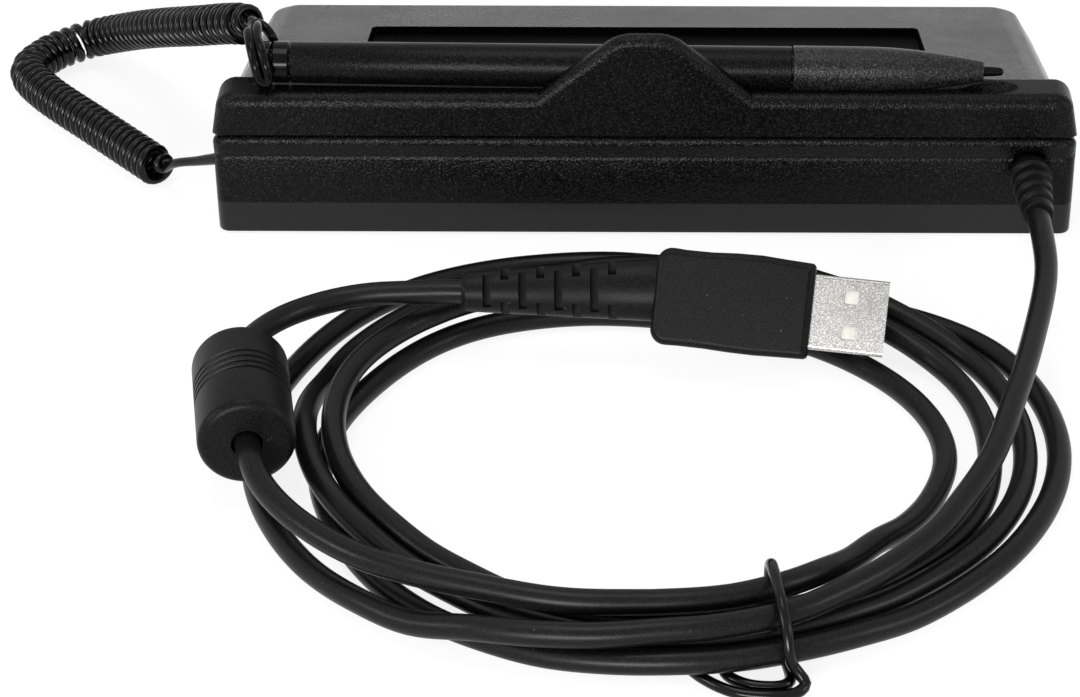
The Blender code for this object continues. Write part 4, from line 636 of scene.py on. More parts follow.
def make_dust_group():
    """Sparse pale specks, as a mask."""
    tree, source, target = new_group(
        "dust", {"Scale": 700.0, "Size": 0.12}, {"Specks": "NodeSocketFloat"}
    )
    place = node(tree, "ShaderNodeTexCoord")
    cells = node(tree, "ShaderNodeTexVoronoi")
    near = node(tree, "ShaderNodeMath", operation="LESS_THAN")
    where = node(tree, "ShaderNodeTexNoise", {"Scale": 160.0, "Detail": 2.0})
    some = node(tree, "ShaderNodeMath", {1: DUSTY_SHARE}, operation="GREATER_THAN")
    both = node(tree, "ShaderNodeMath", operation="MULTIPLY")
    join(place, "Object", cells, "Vector")
    join(place, "Object", where, "Vector")
    join(source, "Scale", cells, "Scale")
    join(cells, "Distance", near, 0)
    join(source, "Size", near, 1)
    join(where, "Fac", some, 0)
    join(near, "Value", both, 0)
    join(some, "Value", both, 1)
    join(both, "Value", target, "Specks")
    return tree


GRAIN_AND_GLINTS = make_grain_group()
DUST = make_dust_group()


def surface(
    name, dark, light, rough, grain, relief, depth=0.00006,
    metallic=0.0, specular=0.5, dust=0.0, dust_size=0.12,
):
    """A material whose colour and roughness follow its grain and patches. Its light colour at the
    grain's peaks is partly the grain's own tone and partly painted glints.
    """
    made = bpy.data.materials.new(name)
    made.use_nodes = True
    tree = made.node_tree
    shader = tree.nodes["Principled BSDF"]
    put(shader, {"Metallic": metallic, "Specular IOR Level": specular})
    sizes = {"Scale": grain, "Relief": relief, "Depth": depth}
    grain_glint_node = node(tree, "ShaderNodeGroup", sizes, node_tree=GRAIN_AND_GLINTS)
    shades = {"A": (*dark, 1.0), "B": (*light, 1.0)}
    colour = node(tree, "ShaderNodeMix", shades, data_type="RGBA")
    roughness = map_range(tree, PATCHES, rough)
    join(grain_glint_node, "Grain and glints", colour, "Factor")
    join(grain_glint_node, "Patches", roughness, "Value")
    join(roughness, "Result", shader, "Roughness")
    join(grain_glint_node, "Normal", shader, "Normal")
    if dust:
        specks = node(tree, "ShaderNodeGroup", {"Size": dust_size}, node_tree=DUST)
        amount = node(tree, "ShaderNodeMath", {1: dust}, operation="MULTIPLY")
        dusty = node(tree, "ShaderNodeMix", {"B": DUST_COLOUR}, data_type="RGBA")
        join(specks, "Specks", amount, 0)
        join(amount, "Value", dusty, "Factor")
        join(colour, "Result", dusty, "A")
        colour = dusty
    join(colour, "Result", shader, "Base Color")
    return made


def grey(value, warm=0.0):
    return (value * (1 + warm), value, value * (1 - warm))


def numbered(name):
    return [f"{name}_{i}" for i in range(1, 5)]


# After the name: its dark and light colour, least and most roughness, and the grain's
# scale, relief and depth
# The case's light specks at the grain's peaks are painted glints, besides the grain's own tone
CASE = surface(
    "case_plastic", grey(0.001), grey(0.012), (0.17, 0.25), 2900.0, 1.0, 0.00013, specular=0.12
)
SMOOTH_CASE = surface(
    "case_smooth", grey(0.002), grey(0.008), (0.26, 0.34), 2500.0, 0.1, 0.00003, specular=0.31
)
FILM = surface(
    "overlay_film", grey(0.003), grey(0.006), (0.50, 0.60), 5200.0, 0.08, 0.00002, specular=0.01
)
BARREL = surface(
    "pen_barrel", grey(0.001), grey(0.012), (0.26, 0.34), 3000.0, 0.7, 0.00007, specular=0.10
)
GRIP = surface(
    "pen_grip", grey(0.003), grey(0.044), (0.24, 0.34), 2900.0, 1.0, 0.00012, specular=0.26
)
GLOSS = surface(
    "pen_gloss", grey(0.002), grey(0.005), (0.10, 0.16), 1500.0, 0.05, 0.00002, specular=0.12
)
CORD = surface(
    "tether_cord", grey(0.001), grey(0.004), (0.15, 0.24), 2200.0, 0.06, 0.00002, specular=0.22
)
JACKET = surface(
    "cable_jacket", grey(0.003), grey(0.012), (0.28, 0.42), 3200.0, 0.25, 0.00004, specular=0.18,
    dust=0.12, dust_size=0.07,
)
MOULDING = surface(
    "cable_boot", grey(0.002), grey(0.014), (0.34, 0.48), 4600.0, 0.4, 0.00005, specular=0.12,
    dust=0.15, dust_size=0.08,
)
NICKEL = surface(
    "plug_nickel", grey(0.36, 0.03), grey(0.78, 0.03), (0.22, 0.32), 4300.0, 0.6, 0.00003,
    metallic=1.0,
)
IVORY = surface("plug_insert", (0.74, 0.74, 0.68), (0.82, 0.82, 0.77), (0.35, 0.45), 1800.0, 0.1)
RUBBER = surface("foot_rubber", grey(0.012), grey(0.022), (0.60, 0.75), 2600.0, 0.4)
STEEL = surface("steel", grey(0.42), grey(0.56), (0.26, 0.40), 4200.0, 0.15, 0.00003, metallic=1.0)
FOAM = surface("gasket_foam", grey(0.02), grey(0.05), (0.8, 0.95), 2400.0, 0.7)
PANEL = surface("sensor_glass", (0.02, 0.03, 0.035), (0.03, 0.05, 0.055), (0.10, 0.18), 900.0, 0.03)
BOARD = surface("board_laminate", (0.01, 0.10, 0.04), (0.02, 0.17, 0.07), (0.35, 0.5), 1600.0, 0.2)
CHIP = surface("chip_resin", grey(0.012), grey(0.024), (0.5, 0.65), 3000.0, 0.3)
SOCKET = surface("socket_plastic", (0.62, 0.60, 0.52), (0.74, 0.72, 0.64), (0.4, 0.5), 1500.0, 0.1)
RIBBON = surface("ribbon_film", (0.40, 0.17, 0.03), (0.58, 0.28, 0.06), (0.25, 0.4), 500.0, 0.05)
FERRITE = surface("ferrite", grey(0.05), grey(0.09), (0.5, 0.7), 2600.0, 0.3)
GOLD = surface(
    "contact_gold", (0.72, 0.48, 0.16), (0.85, 0.62, 0.26), (0.2, 0.32), 3000.0, 0.1, metallic=1.0
)

# The solids that stay, by finish
KEPT_SOLIDS = (
    (FILM, "signing_overlay"),
    (FOAM, "window_gasket"),
    (PANEL, "sensor_panel"),
    (BOARD, "main_board"),
    (CHIP, "controller_chip", "memory_chip"),
    (SOCKET, "cable_header", "ribbon_socket"),
    (RIBBON, "sensor_ribbon"),
    (CORD, "tether_anchor"),
    (JACKET, "inner_cable"),
    (FERRITE, "ferrite_core"),
    (GOLD, *numbered("plug_contact")),
    (STEEL, "backing_plate", *numbered("board_screw"), *numbered("case_screw")),
    (RUBBER, *numbered("foot")),
)


def finish_nodes():
    for material, *names in KEPT_SOLIDS:
        for name in names:
            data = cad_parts[name].data
            data.materials.clear()
            data.materials.append(material)


# Camera

def make_camera():
    data = bpy.data.cameras.new("camera")
    data.sensor_width = SENSOR
    data.lens = FOCAL_PIXELS / IMAGE_WIDTH * SENSOR
    data.shift_x = (IMAGE_WIDTH / 2 - AXIS_COLUMN) / IMAGE_WIDTH
    data.clip_start = 0.01
    camera = link(bpy.data.objects.new("camera", data))
    tip_down = Matrix.Rotation(math.pi / 2 - CAMERA_DOWN, 4, "X")
    look = tip_down @ Matrix.Rotation(CAMERA_ROLL, 4, "Z")
    camera.matrix_world = Matrix.Translation(CAMERA_PLACE) @ look
    bpy.context.scene.camera = camera


# Cable

def plug_boot_root():
    return PLUG_CENTRE + PLUG_TURN.to_matrix() @ Vector((-PLUG_FACE, 0.0, PLUG_BOOT_RISE))


def cable_line():
    """The cable's centre line from the boot round the coil and through the bead to the plug."""
    coil = coil_points()
    out = Vector((0.0, -math.cos(BOOT_DROOP), -math.sin(BOOT_DROOP)))
    tip = BOOT_PLACE + out * BOOT_LENGTH
    across = Vector((CABLE, 0.0, 0.0))
    along = Vector((math.sin(BEAD_YAW), math.cos(BEAD_YAW), 0.0)) * BEAD_LENGTH * BEAD_RUN
    into_plug = (plug_boot_root() - PLUG_BOOT_TIP).normalized()
    points = [tip - out * CABLE_TUCK, tip + out * CABLE, *LEAD_ROUTE, coil[-1] + across]
    points += [*reversed(coil), coil[0] - across, *TAIL_ROUTE_TO_BEAD]
    points += [BEAD_CENTRE - along, BEAD_CENTRE, BEAD_CENTRE + along, *TAIL_ROUTE_TO_PLUG]
    points += [PLUG_BOOT_TIP - into_plug * CABLE, PLUG_BOOT_TIP + into_plug * CABLE_TUCK]
    return steadied(smooth_line(points, CABLE_STEP), CABLE_PASSES)


def make_cable():
    line = cable_line()
    cable = sweep("data_cable", line, CABLE / 2, CABLE_SIDES, JACKET)
    fit(cable, "housing", "cable", "cable_lead", "cable_coil", "cable_tail")
    return cable, line


def make_tie():
    line = smooth_line(TIE_ROUTE, TIE_STEP)
    tie = sweep("wire_tie", line, TIE_WIRE / 2, 14, CORD, rounded=True)
    return fit(tie, "housing", "tether", "cable_tie")


# Tether

def inner_lengths(axis):
    """How much cord is wound up to each point of the axis: less in bends and where it hangs."""
    lengths = [0.0]
    for i in range(len(axis) - 1):
        low, high = max(0, i - BEND_WINDOW), min(len(axis) - 1, i + 1 + BEND_WINDOW)
        middle = (low + high) // 2
        first, second = axis[middle] - axis[low], axis[high] - axis[middle]
        bend = first.angle(second) / ((first.length + second.length) / 2)
        step = (axis[i + 1] - axis[i]).length
        hang = eased(min(1.0, max(0.0, (axis[i].z - HANG_FROM) / (HANG_FULL - HANG_FROM))))
        shrink = 1 - CURL_RADIUS * bend * BEND_SHARE
        lengths.append(lengths[-1] + step * shrink / (1 + HANG_STRETCH * hang))
    return lengths


def curl_line():
    """The curly wire's centre line. Its curls keep their distance on the inside of a bend."""
    axis = smooth_line(TETHER_CURL_ROUTE, WIRE / 2)
    lengths = inner_lengths(axis)
    count = CURLS * CURL_POINTS
    side = (axis[1] - axis[0]).orthogonal().normalized()
    made = []
    for step, (index, share) in enumerate(even_steps(lengths, count)):
        centre = axis[index].lerp(axis[index + 1], share)
        heading = (axis[index + 1] - axis[index]).normalized()
        side = (side - heading * side.dot(heading)).normalized()
        angle = math.tau * step / CURL_POINTS
        opening = CURL_OPENING + (1 - CURL_OPENING) * step / CURL_POINTS
        reach = CURL_RADIUS * min(1.0, opening, 2 * (count - step) / CURL_POINTS)
        outwards = side * math.cos(angle) + heading.cross(side) * math.sin(angle)
        made.append(centre + outwards * reach)
    return made


def lead_reach(share):
    """The cord's radius: fuller on the straight lead than in the curls."""
    return WIRE / 2 + LEAD_FULLER * (1 - eased(min(1.0, share)))


def make_tether():
    curls = curl_line()
    out = (curls[-1] - curls[-2]).normalized()
    lead = [curls[-1] + out * WIRE / 2, *(Vector(point) for point in TETHER_LEAD_ROUTE)]
    lead += [TETHER_PLACE, TETHER_PLACE + (TETHER_PLACE - lead[-1]) * LEAD_PAST]
    lead = smooth_line(lead, LEAD_STEP)
    first = curls[0] + (curls[0] - curls[1]).normalized() * WIRE / 2
    start = smooth_line([*TETHER_START, first, curls[0]], HOOK_STEP)[:-1]
    line = list(reversed(start + curls + lead))
    lead_share = line_length(lead) / line_length(line)
    tether = sweep("tether", line, lambda share: lead_reach(share / lead_share), 12, CORD)
    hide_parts("tether_coil", "tether_lead")
    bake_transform(tether)


def make_hitch():
    line = smooth_line(HITCH_ROUTE, HOOK_STEP)
    hitch = sweep("tether_hook", line, HOOK_WIRE / 2, 16, GLOSS, rounded=True)
    fit(hitch, "pen", "tether", "tether_hitch")


# Pen

def pen_matrix():
    return placed(PEN_SEAT, 0.0, math.pi / 2 + PEN_TILT, 0.0)


def round_end(radius, start, end, steps=8):
    """Profile points of an elliptic end, from the full radius at start to the axis at end."""
    made = []
    for i in range(steps + 1):
        turn = math.pi / 2 * i / steps
        made.append((radius * math.cos(turn), start + (end - start) * math.sin(turn)))
    return made


# Outlines of the turned pieces, as (radius, distance along the pen)
CAP_OUTLINE = metres(
    (0, -53.4), (2.2, -53.4), (2.2, -62.7), (3.2, -62.7), (3.5, -63),
    *round_end(3.5, -64.6, -66.3),
)
COLLAR_OUTLINE = metres(
    (2.5, -59.7), (3.3, -59.7), (3.5, -59.9), (3.5, -62.2), (3.3, -62.4), (2.5, -62.4),
)
BARREL_OUTLINE = metres(
    (2.5, 24.6), (3.62, 24.6), (3.75, 24.45), (3.65, -20), (3.5, -59.25), (3.4, -59.4),
    (2.5, -59.4),
)
GRIP_OUTLINE = metres(
    (0, 45.3), (1.18, 45.3), (1.18, 56.9), (1.65, 56.9), (1.75, 56.8), (2.22, 54.3),
    (2.68, 51.5), (3.12, 48.4), (3.5, 45), (3.77, 41.5), (3.89, 38), (3.9, 34), (3.9, 25.05),
    (3.8, 24.9), (2.2, 24.9), (2.2, 15.9), (0, 15.9),
)
NIB_OUTLINE = metres(
    (0, 45.9), (0.88, 45.9), (0.88, 57.2), (0.82, 58.8), *round_end(0.72, 59.7, 60.4),
)
GROOVE_OUTLINE = metres(
    (0, 60), (1.2, 59.8), (1.9, 59), (2.5, 55.5), (3.4, 50), (4.25, 40), (4.25, 24.55),
    (3.85, -59.4), (3.85, -66.65), (0, -67),
)


def make_pen():
    """The pen's turned pieces. The collar and the barrel are rings."""
    pieces = (
        ("end_cap", CAP_OUTLINE, 64, GLOSS, "gloss", False, 35),
        ("collar", COLLAR_OUTLINE, 64, GLOSS, "gloss", True, 35),
        ("barrel", BARREL_OUTLINE, 72, BARREL, "barrel", True, 35),
        ("grip", GRIP_OUTLINE, 72, GRIP, "grip", False, 30),
        ("nib", NIB_OUTLINE, 40, GLOSS, "gloss", False, 35),
    )
    for name, outline, sides, material, slot, ring, sharp in pieces:
        piece = lathe(name, outline, pen_matrix(), sides, material, ring, sharp)
        fit(piece, "pen", slot, f"pen_{name}")


# Housing

def slab(half, back, front, low, height, corner, strip=0.0, crown=0.0):
    """A sloping slab with leaning sides. With a crown, its top rises inside a border strip."""
    bm = bmesh.new()
    box(bm, (-half, back, low), (half, front, low + height))
    bevel(bm, edges_where(bm, is_upright), corner, 8)
    top = low + height
    for vert in bm.verts:
        if abs(vert.co.z - top) < TINY:
            vert.co.x *= (half - SIDE_DRAFT) / half
            if vert.co.y > (back + front) / 2:
                vert.co.y -= FRONT_DRAFT
    if crown:
        roof = max(bm.faces, key=lambda face: face.calc_center_median().z)
        bmesh.ops.inset_region(bm, faces=[roof], thickness=strip, depth=0.0)
        bmesh.ops.translate(bm, vec=(0.0, 0.0, crown), verts=roof.verts)
        outer = edges_where(bm, lambda a, b: abs(a.z - top) < TINY and abs(b.z - top) < TINY)
        inner = edges_where(bm, lambda a, b: min(a.z, b.z) > top + crown - TINY)
        bevel(bm, outer + inner, TOP_EDGE, 4)
    for vert in bm.verts:
        vert.co.z -= drop_at(vert.co.y)
    return bm


def ridge_piece():
    bm = bmesh.new()
    bottom = PARTING + PARTING_GAP
    box(bm, (-HALF_WIDTH, REAR_Y, bottom), (HALF_WIDTH, REAR_Y + RIDGE_DEPTH, RIDGE_HEIGHT))
    for vert in bm.verts:
        if vert.co.z > bottom + TINY:
            vert.co.x *= (HALF_WIDTH - RIDGE_DRAFT) / HALF_WIDTH
        else:
            vert.co.z -= drop_at(vert.co.y)
    middle = (bottom + RIDGE_HEIGHT) / 2
    centre = REAR_Y + RIDGE_DEPTH / 2

    def is_end(a, b):
        return min(a.z, b.z) > middle and abs(a.x - b.x) < TINY

    def is_far(a, b):
        return min(a.z, b.z) > middle and abs(a.y - b.y) < TINY and a.y > centre

    def is_near(a, b):
        return max(a.y, b.y) < REAR_Y + TINY and max(a.z, b.z) > bottom + TINY

    bevel(bm, edges_where(bm, is_end), RIDGE_END, 8)
    bevel(bm, edges_where(bm, is_far), RIDGE_EDGE, 6)
    bevel(bm, edges_where(bm, is_near), RIDGE_ROUND, 8)
    return finished("ridge", bm, None)


def tab_piece():
    bm = bmesh.new()
    slope = (TAB_BASE - TAB_TOP) / TAB_HEIGHT
    low_half = (TAB_BASE + slope * TAB_ROOT) / 2
    low, high = RIDGE_HEIGHT - TAB_ROOT, RIDGE_HEIGHT + TAB_HEIGHT
    box(bm, (-low_half, REAR_Y, low), (low_half, REAR_Y + TAB_THICKNESS, high))
    for vert in bm.verts:
        if vert.co.z > (low + high) / 2:
            vert.co.x *= TAB_TOP / 2 / low_half

    def is_corner(a, b):
        return min(a.z, b.z) > high - TINY and abs(a.y - b.y) > TINY

    def is_rear_outline(a, b):
        slanted = abs(a.z - b.z) > TINY and abs(a.x - b.x) > TINY
        return max(a.y, b.y) < REAR_Y + TINY and (slanted or min(a.z, b.z) > low + TINY)

    bevel(bm, edges_where(bm, is_corner), TAB_CORNER, 6)
    bevel(bm, edges_where(bm, is_rear_outline), TAB_EDGE, 6)
    return finished("tab", bm, None)


def scoop_piece():
    bm = bmesh.new()
    bmesh.ops.create_uvsphere(bm, u_segments=64, v_segments=32, radius=1.0)
    bmesh.ops.scale(bm, vec=SCOOP_SIZE, verts=bm.verts)
    bmesh.ops.translate(bm, vec=SCOOP_PLACE, verts=bm.verts)
    return finished("scoop", bm, None)


def window_piece():
    half, front = WINDOW_WIDTH / 2, WINDOW_BACK + WINDOW_LENGTH
    low = TOP_AT_REAR - TOP_WALL - drop_at(front) - PAST
    high = TOP_AT_REAR + PAST
    corners = (-half, WINDOW_BACK, low), (half, front, high)
    return block("window", *corners, 2, WINDOW_CORNER, 6)


def make_upper_shell():
    outside = slab(
        half=HALF_WIDTH - RIDGE_EDGE / 6,
        back=REAR_Y + RIDGE_EDGE,
        front=FRONT_Y,
        low=PARTING + PARTING_GAP,
        height=TOP_AT_REAR - CROWN - PARTING - PARTING_GAP,
        corner=FRONT_CORNER,
        strip=STRIP,
        crown=CROWN,
    )
    shell = finished("top_shell", outside, CASE)
    low = PARTING - PAST
    inside = slab(
        half=HALF_WIDTH - WALL,
        back=REAR_Y + WALL,
        front=FRONT_Y - WALL,
        low=low,
        height=TOP_AT_REAR - TOP_WALL - low,
        corner=FRONT_CORNER - WALL,
    )
    cavity = finished("cavity", inside, None)
    steps = [
        (ridge_piece(), "UNION"),
        (tab_piece(), "UNION"),
        (cavity, "DIFFERENCE"),
        (window_piece(), "DIFFERENCE"),
        (lathe("groove", GROOVE_OUTLINE, pen_matrix(), 96, None), "DIFFERENCE"),
        (scoop_piece(), "DIFFERENCE"),
    ]
    combine(shell, steps)
    fit(shell, "housing", "case", "upper_shell")


def shape_rear_face(bm):
    """Draws the tuck, the swell, the line and the ledge into the lower shell's rear face."""
    tuck = [TUCK_HEIGHT * share for share in TUCK_CUTS]
    lines = [LINE_HEIGHT + cut for cut in LINE_CUTS]
    rise = LINE_HEIGHT - SWELL_FROM
    swell = [SWELL_FROM + rise * cut / SWELL_CUTS for cut in range(SWELL_CUTS)]
    score(bm, tuck + lines + swell + [LEDGE_TOP], UP)
    for vert in bm.verts:
        height = vert.co.z
        if vert.co.y >= REAR_Y + REAR_CORNER:
            continue
        share = max(0.0, (TUCK_HEIGHT - height) / (TUCK_HEIGHT - FOOT_PROUD))
        vert.co.y += TUCK * (share / 4 + share**3 * 3 / 4)
        if LINE_HEIGHT + LINE_LOW < height < LINE_HEIGHT + LINE_HIGH:
            vert.co.y += LEDGE_SET_BACK + LINE_DEPTH
        elif LINE_HEIGHT < height < LEDGE_TOP:
            vert.co.y += LEDGE_SET_BACK * (LEDGE_TOP - height) / (LEDGE_TOP - LINE_HEIGHT)
        elif SWELL_FROM < height < LINE_HEIGHT:
            vert.co.y += LEDGE_SET_BACK * ((height - SWELL_FROM) / rise) ** 2


def corner_holes(name, profile, at, sides):
    """The same turned cutter near each corner of the underside."""
    from_middle, inwards = at
    made = []
    for x in (-from_middle, from_middle):
        for y in (REAR_Y + inwards, FRONT_Y - inwards):
            spot = Matrix.Translation((x, y, -PAST))
            made.append(lathe(name, profile, spot, sides, None))
    return made


def rear_opening(name, half, low, high):
    """A cutter through the rear wall at the boot, this wide each side."""
    back, front = REAR_Y - PAST, REAR_Y + WALL + PAST
    return block(name, (BOOT_PLACE.x - half, back, low), (BOOT_PLACE.x + half, front, high))


def make_lower_shell():
    bm = bmesh.new()
    box(bm, (-HALF_WIDTH, REAR_Y, FOOT_PROUD), (HALF_WIDTH, FRONT_Y, PARTING))
    for corner, side in ((REAR_CORNER, -1), (FRONT_CORNER, 1)):
        wanted = edges_where(bm, lambda a, b: is_upright(a, b) and a.y * side > 0)
        bevel(bm, wanted, corner, 8)
    rim = edges_where(bm, lambda a, b: min(a.z, b.z) > PARTING - TINY)
    for vert in bm.verts:
        if vert.co.z > PARTING - TINY:
            vert.co.z -= drop_at(vert.co.y)
    bevel(bm, rim, RIM_EDGE, 6)
    base = edges_where(bm, lambda a, b: max(a.z, b.z) < FOOT_PROUD + TINY)
    bevel(bm, base, BASE_EDGE, 4)
    shape_rear_face(bm)
    for face in bm.faces:
        middle = face.calc_center_median()
        if middle.z < TUCK_HEIGHT and middle.y < REAR_Y + REAR_CORNER:
            face.material_index = 1
    shell = finished("bottom_shell", bm, CASE, 20)
    shell.data.materials.append(SMOOTH_CASE)
    room = HALF_WIDTH - WALL
    low, high = FOOT_PROUD + WALL, PARTING + PAST
    corners = (-room, REAR_Y + WALL, low), (room, FRONT_Y - WALL, high)
    height = BOOT_PLACE.z
    cuts = [
        block("cavity", *corners, 2, REAR_CORNER, 4),
        rear_opening("notch", NOTCH_HALF, height - NOTCH_HALF, height + NOTCH_HALF),
        rear_opening("slit", SLIT_HALF, height, SLIT_TOP),
    ]
    turn = Matrix.Rotation(math.pi / 2, 4, "Y")
    place = Matrix.Translation(TETHER_PLACE - LEAD_HOLE_OUT) @ turn
    cuts.append(lathe("hole", LEAD_HOLE, place, 32, None))
    cuts += corner_holes("pocket", FOOT_POCKET, FEET_AT, 48)
    cuts += corner_holes("bore", SCREW_BORE, SCREWS_AT, 32)
    combine(shell, [(cut, "DIFFERENCE") for cut in cuts])
    fit(shell, "housing", "case", "lower_shell")


# Boot and bead

def make_boot():
    """The ribbed strain relief, with the flange that holds it behind the rear wall."""
    place = Matrix.Translation(BOOT_PLACE) @ Matrix.Rotation(math.pi / 2 + BOOT_DROOP, 4, "X")
    pitch = (BOOT_LENGTH - BOOT_CLEAR) / BOOT_RIBS
    profile = [
        (0.0, BOOT_LENGTH),
        (BOOT_TIP - RIB_ROUND, BOOT_LENGTH),
        (BOOT_TIP, BOOT_LENGTH - RIB_ROUND),
    ]
    for rib in range(BOOT_RIBS):
        outer = BOOT_LENGTH - pitch * rib
        inner = outer - pitch
        radius = BOOT_TIP + BOOT_GROWTH * (1 - (outer + inner) / 2 / BOOT_LENGTH)
        if rib:
            profile += [(radius - RIB_ROUND, outer - pitch / 12), (radius, outer - pitch / 6)]
        profile += [
            (radius, inner + pitch / 2.6),
            (radius - RIB_ROUND, inner + pitch / 3.2),
            (radius - RIB_DEPTH, inner + pitch / 4),
            (radius - RIB_DEPTH, inner + pitch / 16),
        ]
    boot = lathe("strain_relief", [*profile, *BOOT_FLANGE], place, 48, MOULDING)
    return fit(boot, "housing", "boot", "cable_boot")


def make_bead():
    """The bead's cover: a ring round the ferrite, with rounded rims and four grooves."""
    half = BEAD_LENGTH / 2
    rim = []
    for i in range(7):
        turned = math.pi / 2 * i / 6
        radius = BEAD_RADIUS - BEAD_EDGE + BEAD_EDGE * math.sin(turned)
        rim.append((radius, half - BEAD_EDGE + BEAD_EDGE * math.cos(turned)))
    profile = [(BEAD_BORE, half), *rim]
    first = BEAD_GROOVE_PITCH * (BEAD_GROOVES - 1) / 2 + half / 8
    for groove in range(BEAD_GROOVES):
        at = first - BEAD_GROOVE_PITCH * groove
        profile += [
            (BEAD_RADIUS, at + BEAD_GROOVE),
            (BEAD_RADIUS - BEAD_GROOVE, at + BEAD_GROOVE / 2),
            (BEAD_RADIUS - BEAD_GROOVE, at - BEAD_GROOVE / 2),
            (BEAD_RADIUS, at - BEAD_GROOVE),
        ]
    profile += [(radius, -along) for radius, along in reversed(rim)]
    room, reach = BEAD_ROOM
    profile += [(BEAD_BORE, -half), (BEAD_BORE, -reach), (room, -reach)]
    profile += [(room, reach), (BEAD_BORE, reach)]
    place = placed(BEAD_CENTRE, -math.pi / 2, 0.0, -BEAD_YAW)
    bead = lathe("bead_cover", profile, place, 96, MOULDING, ring=True, sharp=28)
    return fit(bead, "housing", "boot", "ferrite_cover")


# Plug

def plug_matrix():
    return placed(PLUG_CENTRE, *PLUG_TURN)


def plug_block():
    """The plug's grip: a block with rounded edges and a slight wave along it."""
    bm = bmesh.new()
    half = PLUG_SIZE / 2
    box(bm, -half, half)
    backs = [edge for edge in edges_along(bm, 1) if edge.verts[0].co.x < 0]
    bevel(bm, backs, PLUG_BACK_EDGE, 8)
    fronts = [edge for edge in edges_along(bm, 1) if edge.verts[0].co.x > half.x - TINY]
    bevel(bm, fronts, PLUG_FRONT_EDGE, 4)
    score(bm, PLUG_CUTS, ALONG)
    rims = [
        edge
        for edge in bm.edges
        if abs(edge.verts[0].co.y - edge.verts[1].co.y) < TINY
        and abs(abs(edge.verts[0].co.y) - half.y) < TINY
        and edge.calc_face_angle(0.0) > math.radians(60)
    ]
    bevel(bm, rims, PLUG_RIM_EDGE, 5)
    for vert in bm.verts:
        wave = math.sin(vert.co.x / WAVE_LENGTH * math.tau + WAVE_START) * WAVE
        vert.co.z += wave * (1 if vert.co.z > 0 else WAVE_BELOW)
    bmesh.ops.transform(bm, matrix=plug_matrix(), verts=bm.verts)
    return finished("plug_moulding", bm, MOULDING)


def boot_slots(seat, growth):
    """Cutters for the plug's boot: by turns a long slot in each flat and short ones beside."""
    bm = bmesh.new()
    for slot in range(SLOTS):
        at = SLOT_FROM + SLOT_PITCH * slot
        between = at + SLOT_BETWEEN
        radius = PLUG_BOOT_END + growth * at
        reach = radius * SLOT_REACH
        for side in (-1, 1):
            low, high = sorted((radius * side * SLOT_CORE, radius * side * 2))
            box(bm, (at, low, -reach), (at + SLOT_WIDTH, high, reach))
            for end in (-1, 1):
                inner, outer = sorted((radius * end * EDGE_SLOT_FROM, radius * end * 2))
                box(bm, (between, low, inner), (between + SLOT_WIDTH, high, outer))
    bmesh.ops.transform(bm, matrix=seat, verts=bm.verts)
    return finished("slots", bm, None)


def plug_boot():
    """The plug's slotted boot, round at its tip and flatter at its root."""
    run = plug_boot_root() - PLUG_BOOT_TIP
    axis = run.normalized()
    length = run.length + PLUG_BOOT_INTO
    pitch, yaw = -math.asin(axis.z), math.atan2(axis.y, axis.x)
    seat = placed(PLUG_BOOT_TIP, PLUG_ROLL, pitch, yaw)
    tip = PLUG_BOOT_END
    profile = [
        (0.0, length),
        (PLUG_BOOT_ROOT, length),
        (tip + 0.0002, 0.0008),
        (tip, 0.0003),
        (tip - 0.0003, 0.0),
        (0.0, 0.0),
    ]
    boot = lathe("plug_boot", profile, Matrix.Identity(4), 72, None)
    for vert in boot.data.vertices:
        share = max(0.0, vert.co.z) / length
        vert.co.y *= 1 - share * (1 - PLUG_BOOT_THIN / PLUG_BOOT_ROOT)
    boot.data.transform(seat @ Matrix.Rotation(math.pi / 2, 4, "Y"))
    combine(boot, [(boot_slots(seat, (PLUG_BOOT_ROOT - tip) / length), "DIFFERENCE")])
    boot.modifiers.clear()
    return boot


def make_plug_body():
    body = plug_block()
    y, z = SLEEVE_HALF_Y + SLACK, SLEEVE_HALF_Z + SLACK
    pocket = block("pocket", (PLUG_FACE - SHELL_SEAT, -y, -z), (PLUG_FACE + PAST, y, z))
    pocket.data.transform(plug_matrix())
    combine(body, [(plug_boot(), "UNION"), (pocket, "DIFFERENCE")])
    return fit(body, "housing", "boot", "plug_overmould")


def make_plug_sleeve():
    """The metal sleeve, with its two windows and the seam of its folded sheet."""
    back, front = SLEEVE_BACK, SLEEVE_FRONT
    y, z = SLEEVE_HALF_Y, SLEEVE_HALF_Z
    sleeve = block("plug_sleeve", (back, -y, -z), (front, y, z), 0, SHELL_EDGE, 5, NICKEL)
    y, z = y - METAL, z - METAL
    bore = block("bore", (back - PAST, -y, -z), (front + PAST, y, z), 0, BORE_EDGE, 4)
    bm = bmesh.new()
    at, half, y = PLUG_FACE + SLEEVE_WINDOW_AT, SLEEVE_WINDOW_HALF, SLEEVE_HALF_Y * 2
    for z in (-SLEEVE_WINDOW_SIDE, SLEEVE_WINDOW_SIDE):
        box(bm, (at - half, -y, z - half), (at + half, y, z + half))
    bevel(bm, edges_along(bm, 1), SLEEVE_WINDOW_CORNER, 3)
    windows = finished("windows", bm, None)
    low, high = SEAM_SIDES
    outer, inner = -SLEEVE_HALF_Y - MILLIMETRE, -SLEEVE_HALF_Y + SEAM_DEPTH
    seam = block("seam", (back, outer, low), (front + MILLIMETRE, inner, high))
    combine(sleeve, [(bore, "DIFFERENCE"), (windows, "DIFFERENCE"), (seam, "DIFFERENCE")])
    sleeve.data.transform(plug_matrix())
    return fit(sleeve, "housing", "nickel", "plug_shell")


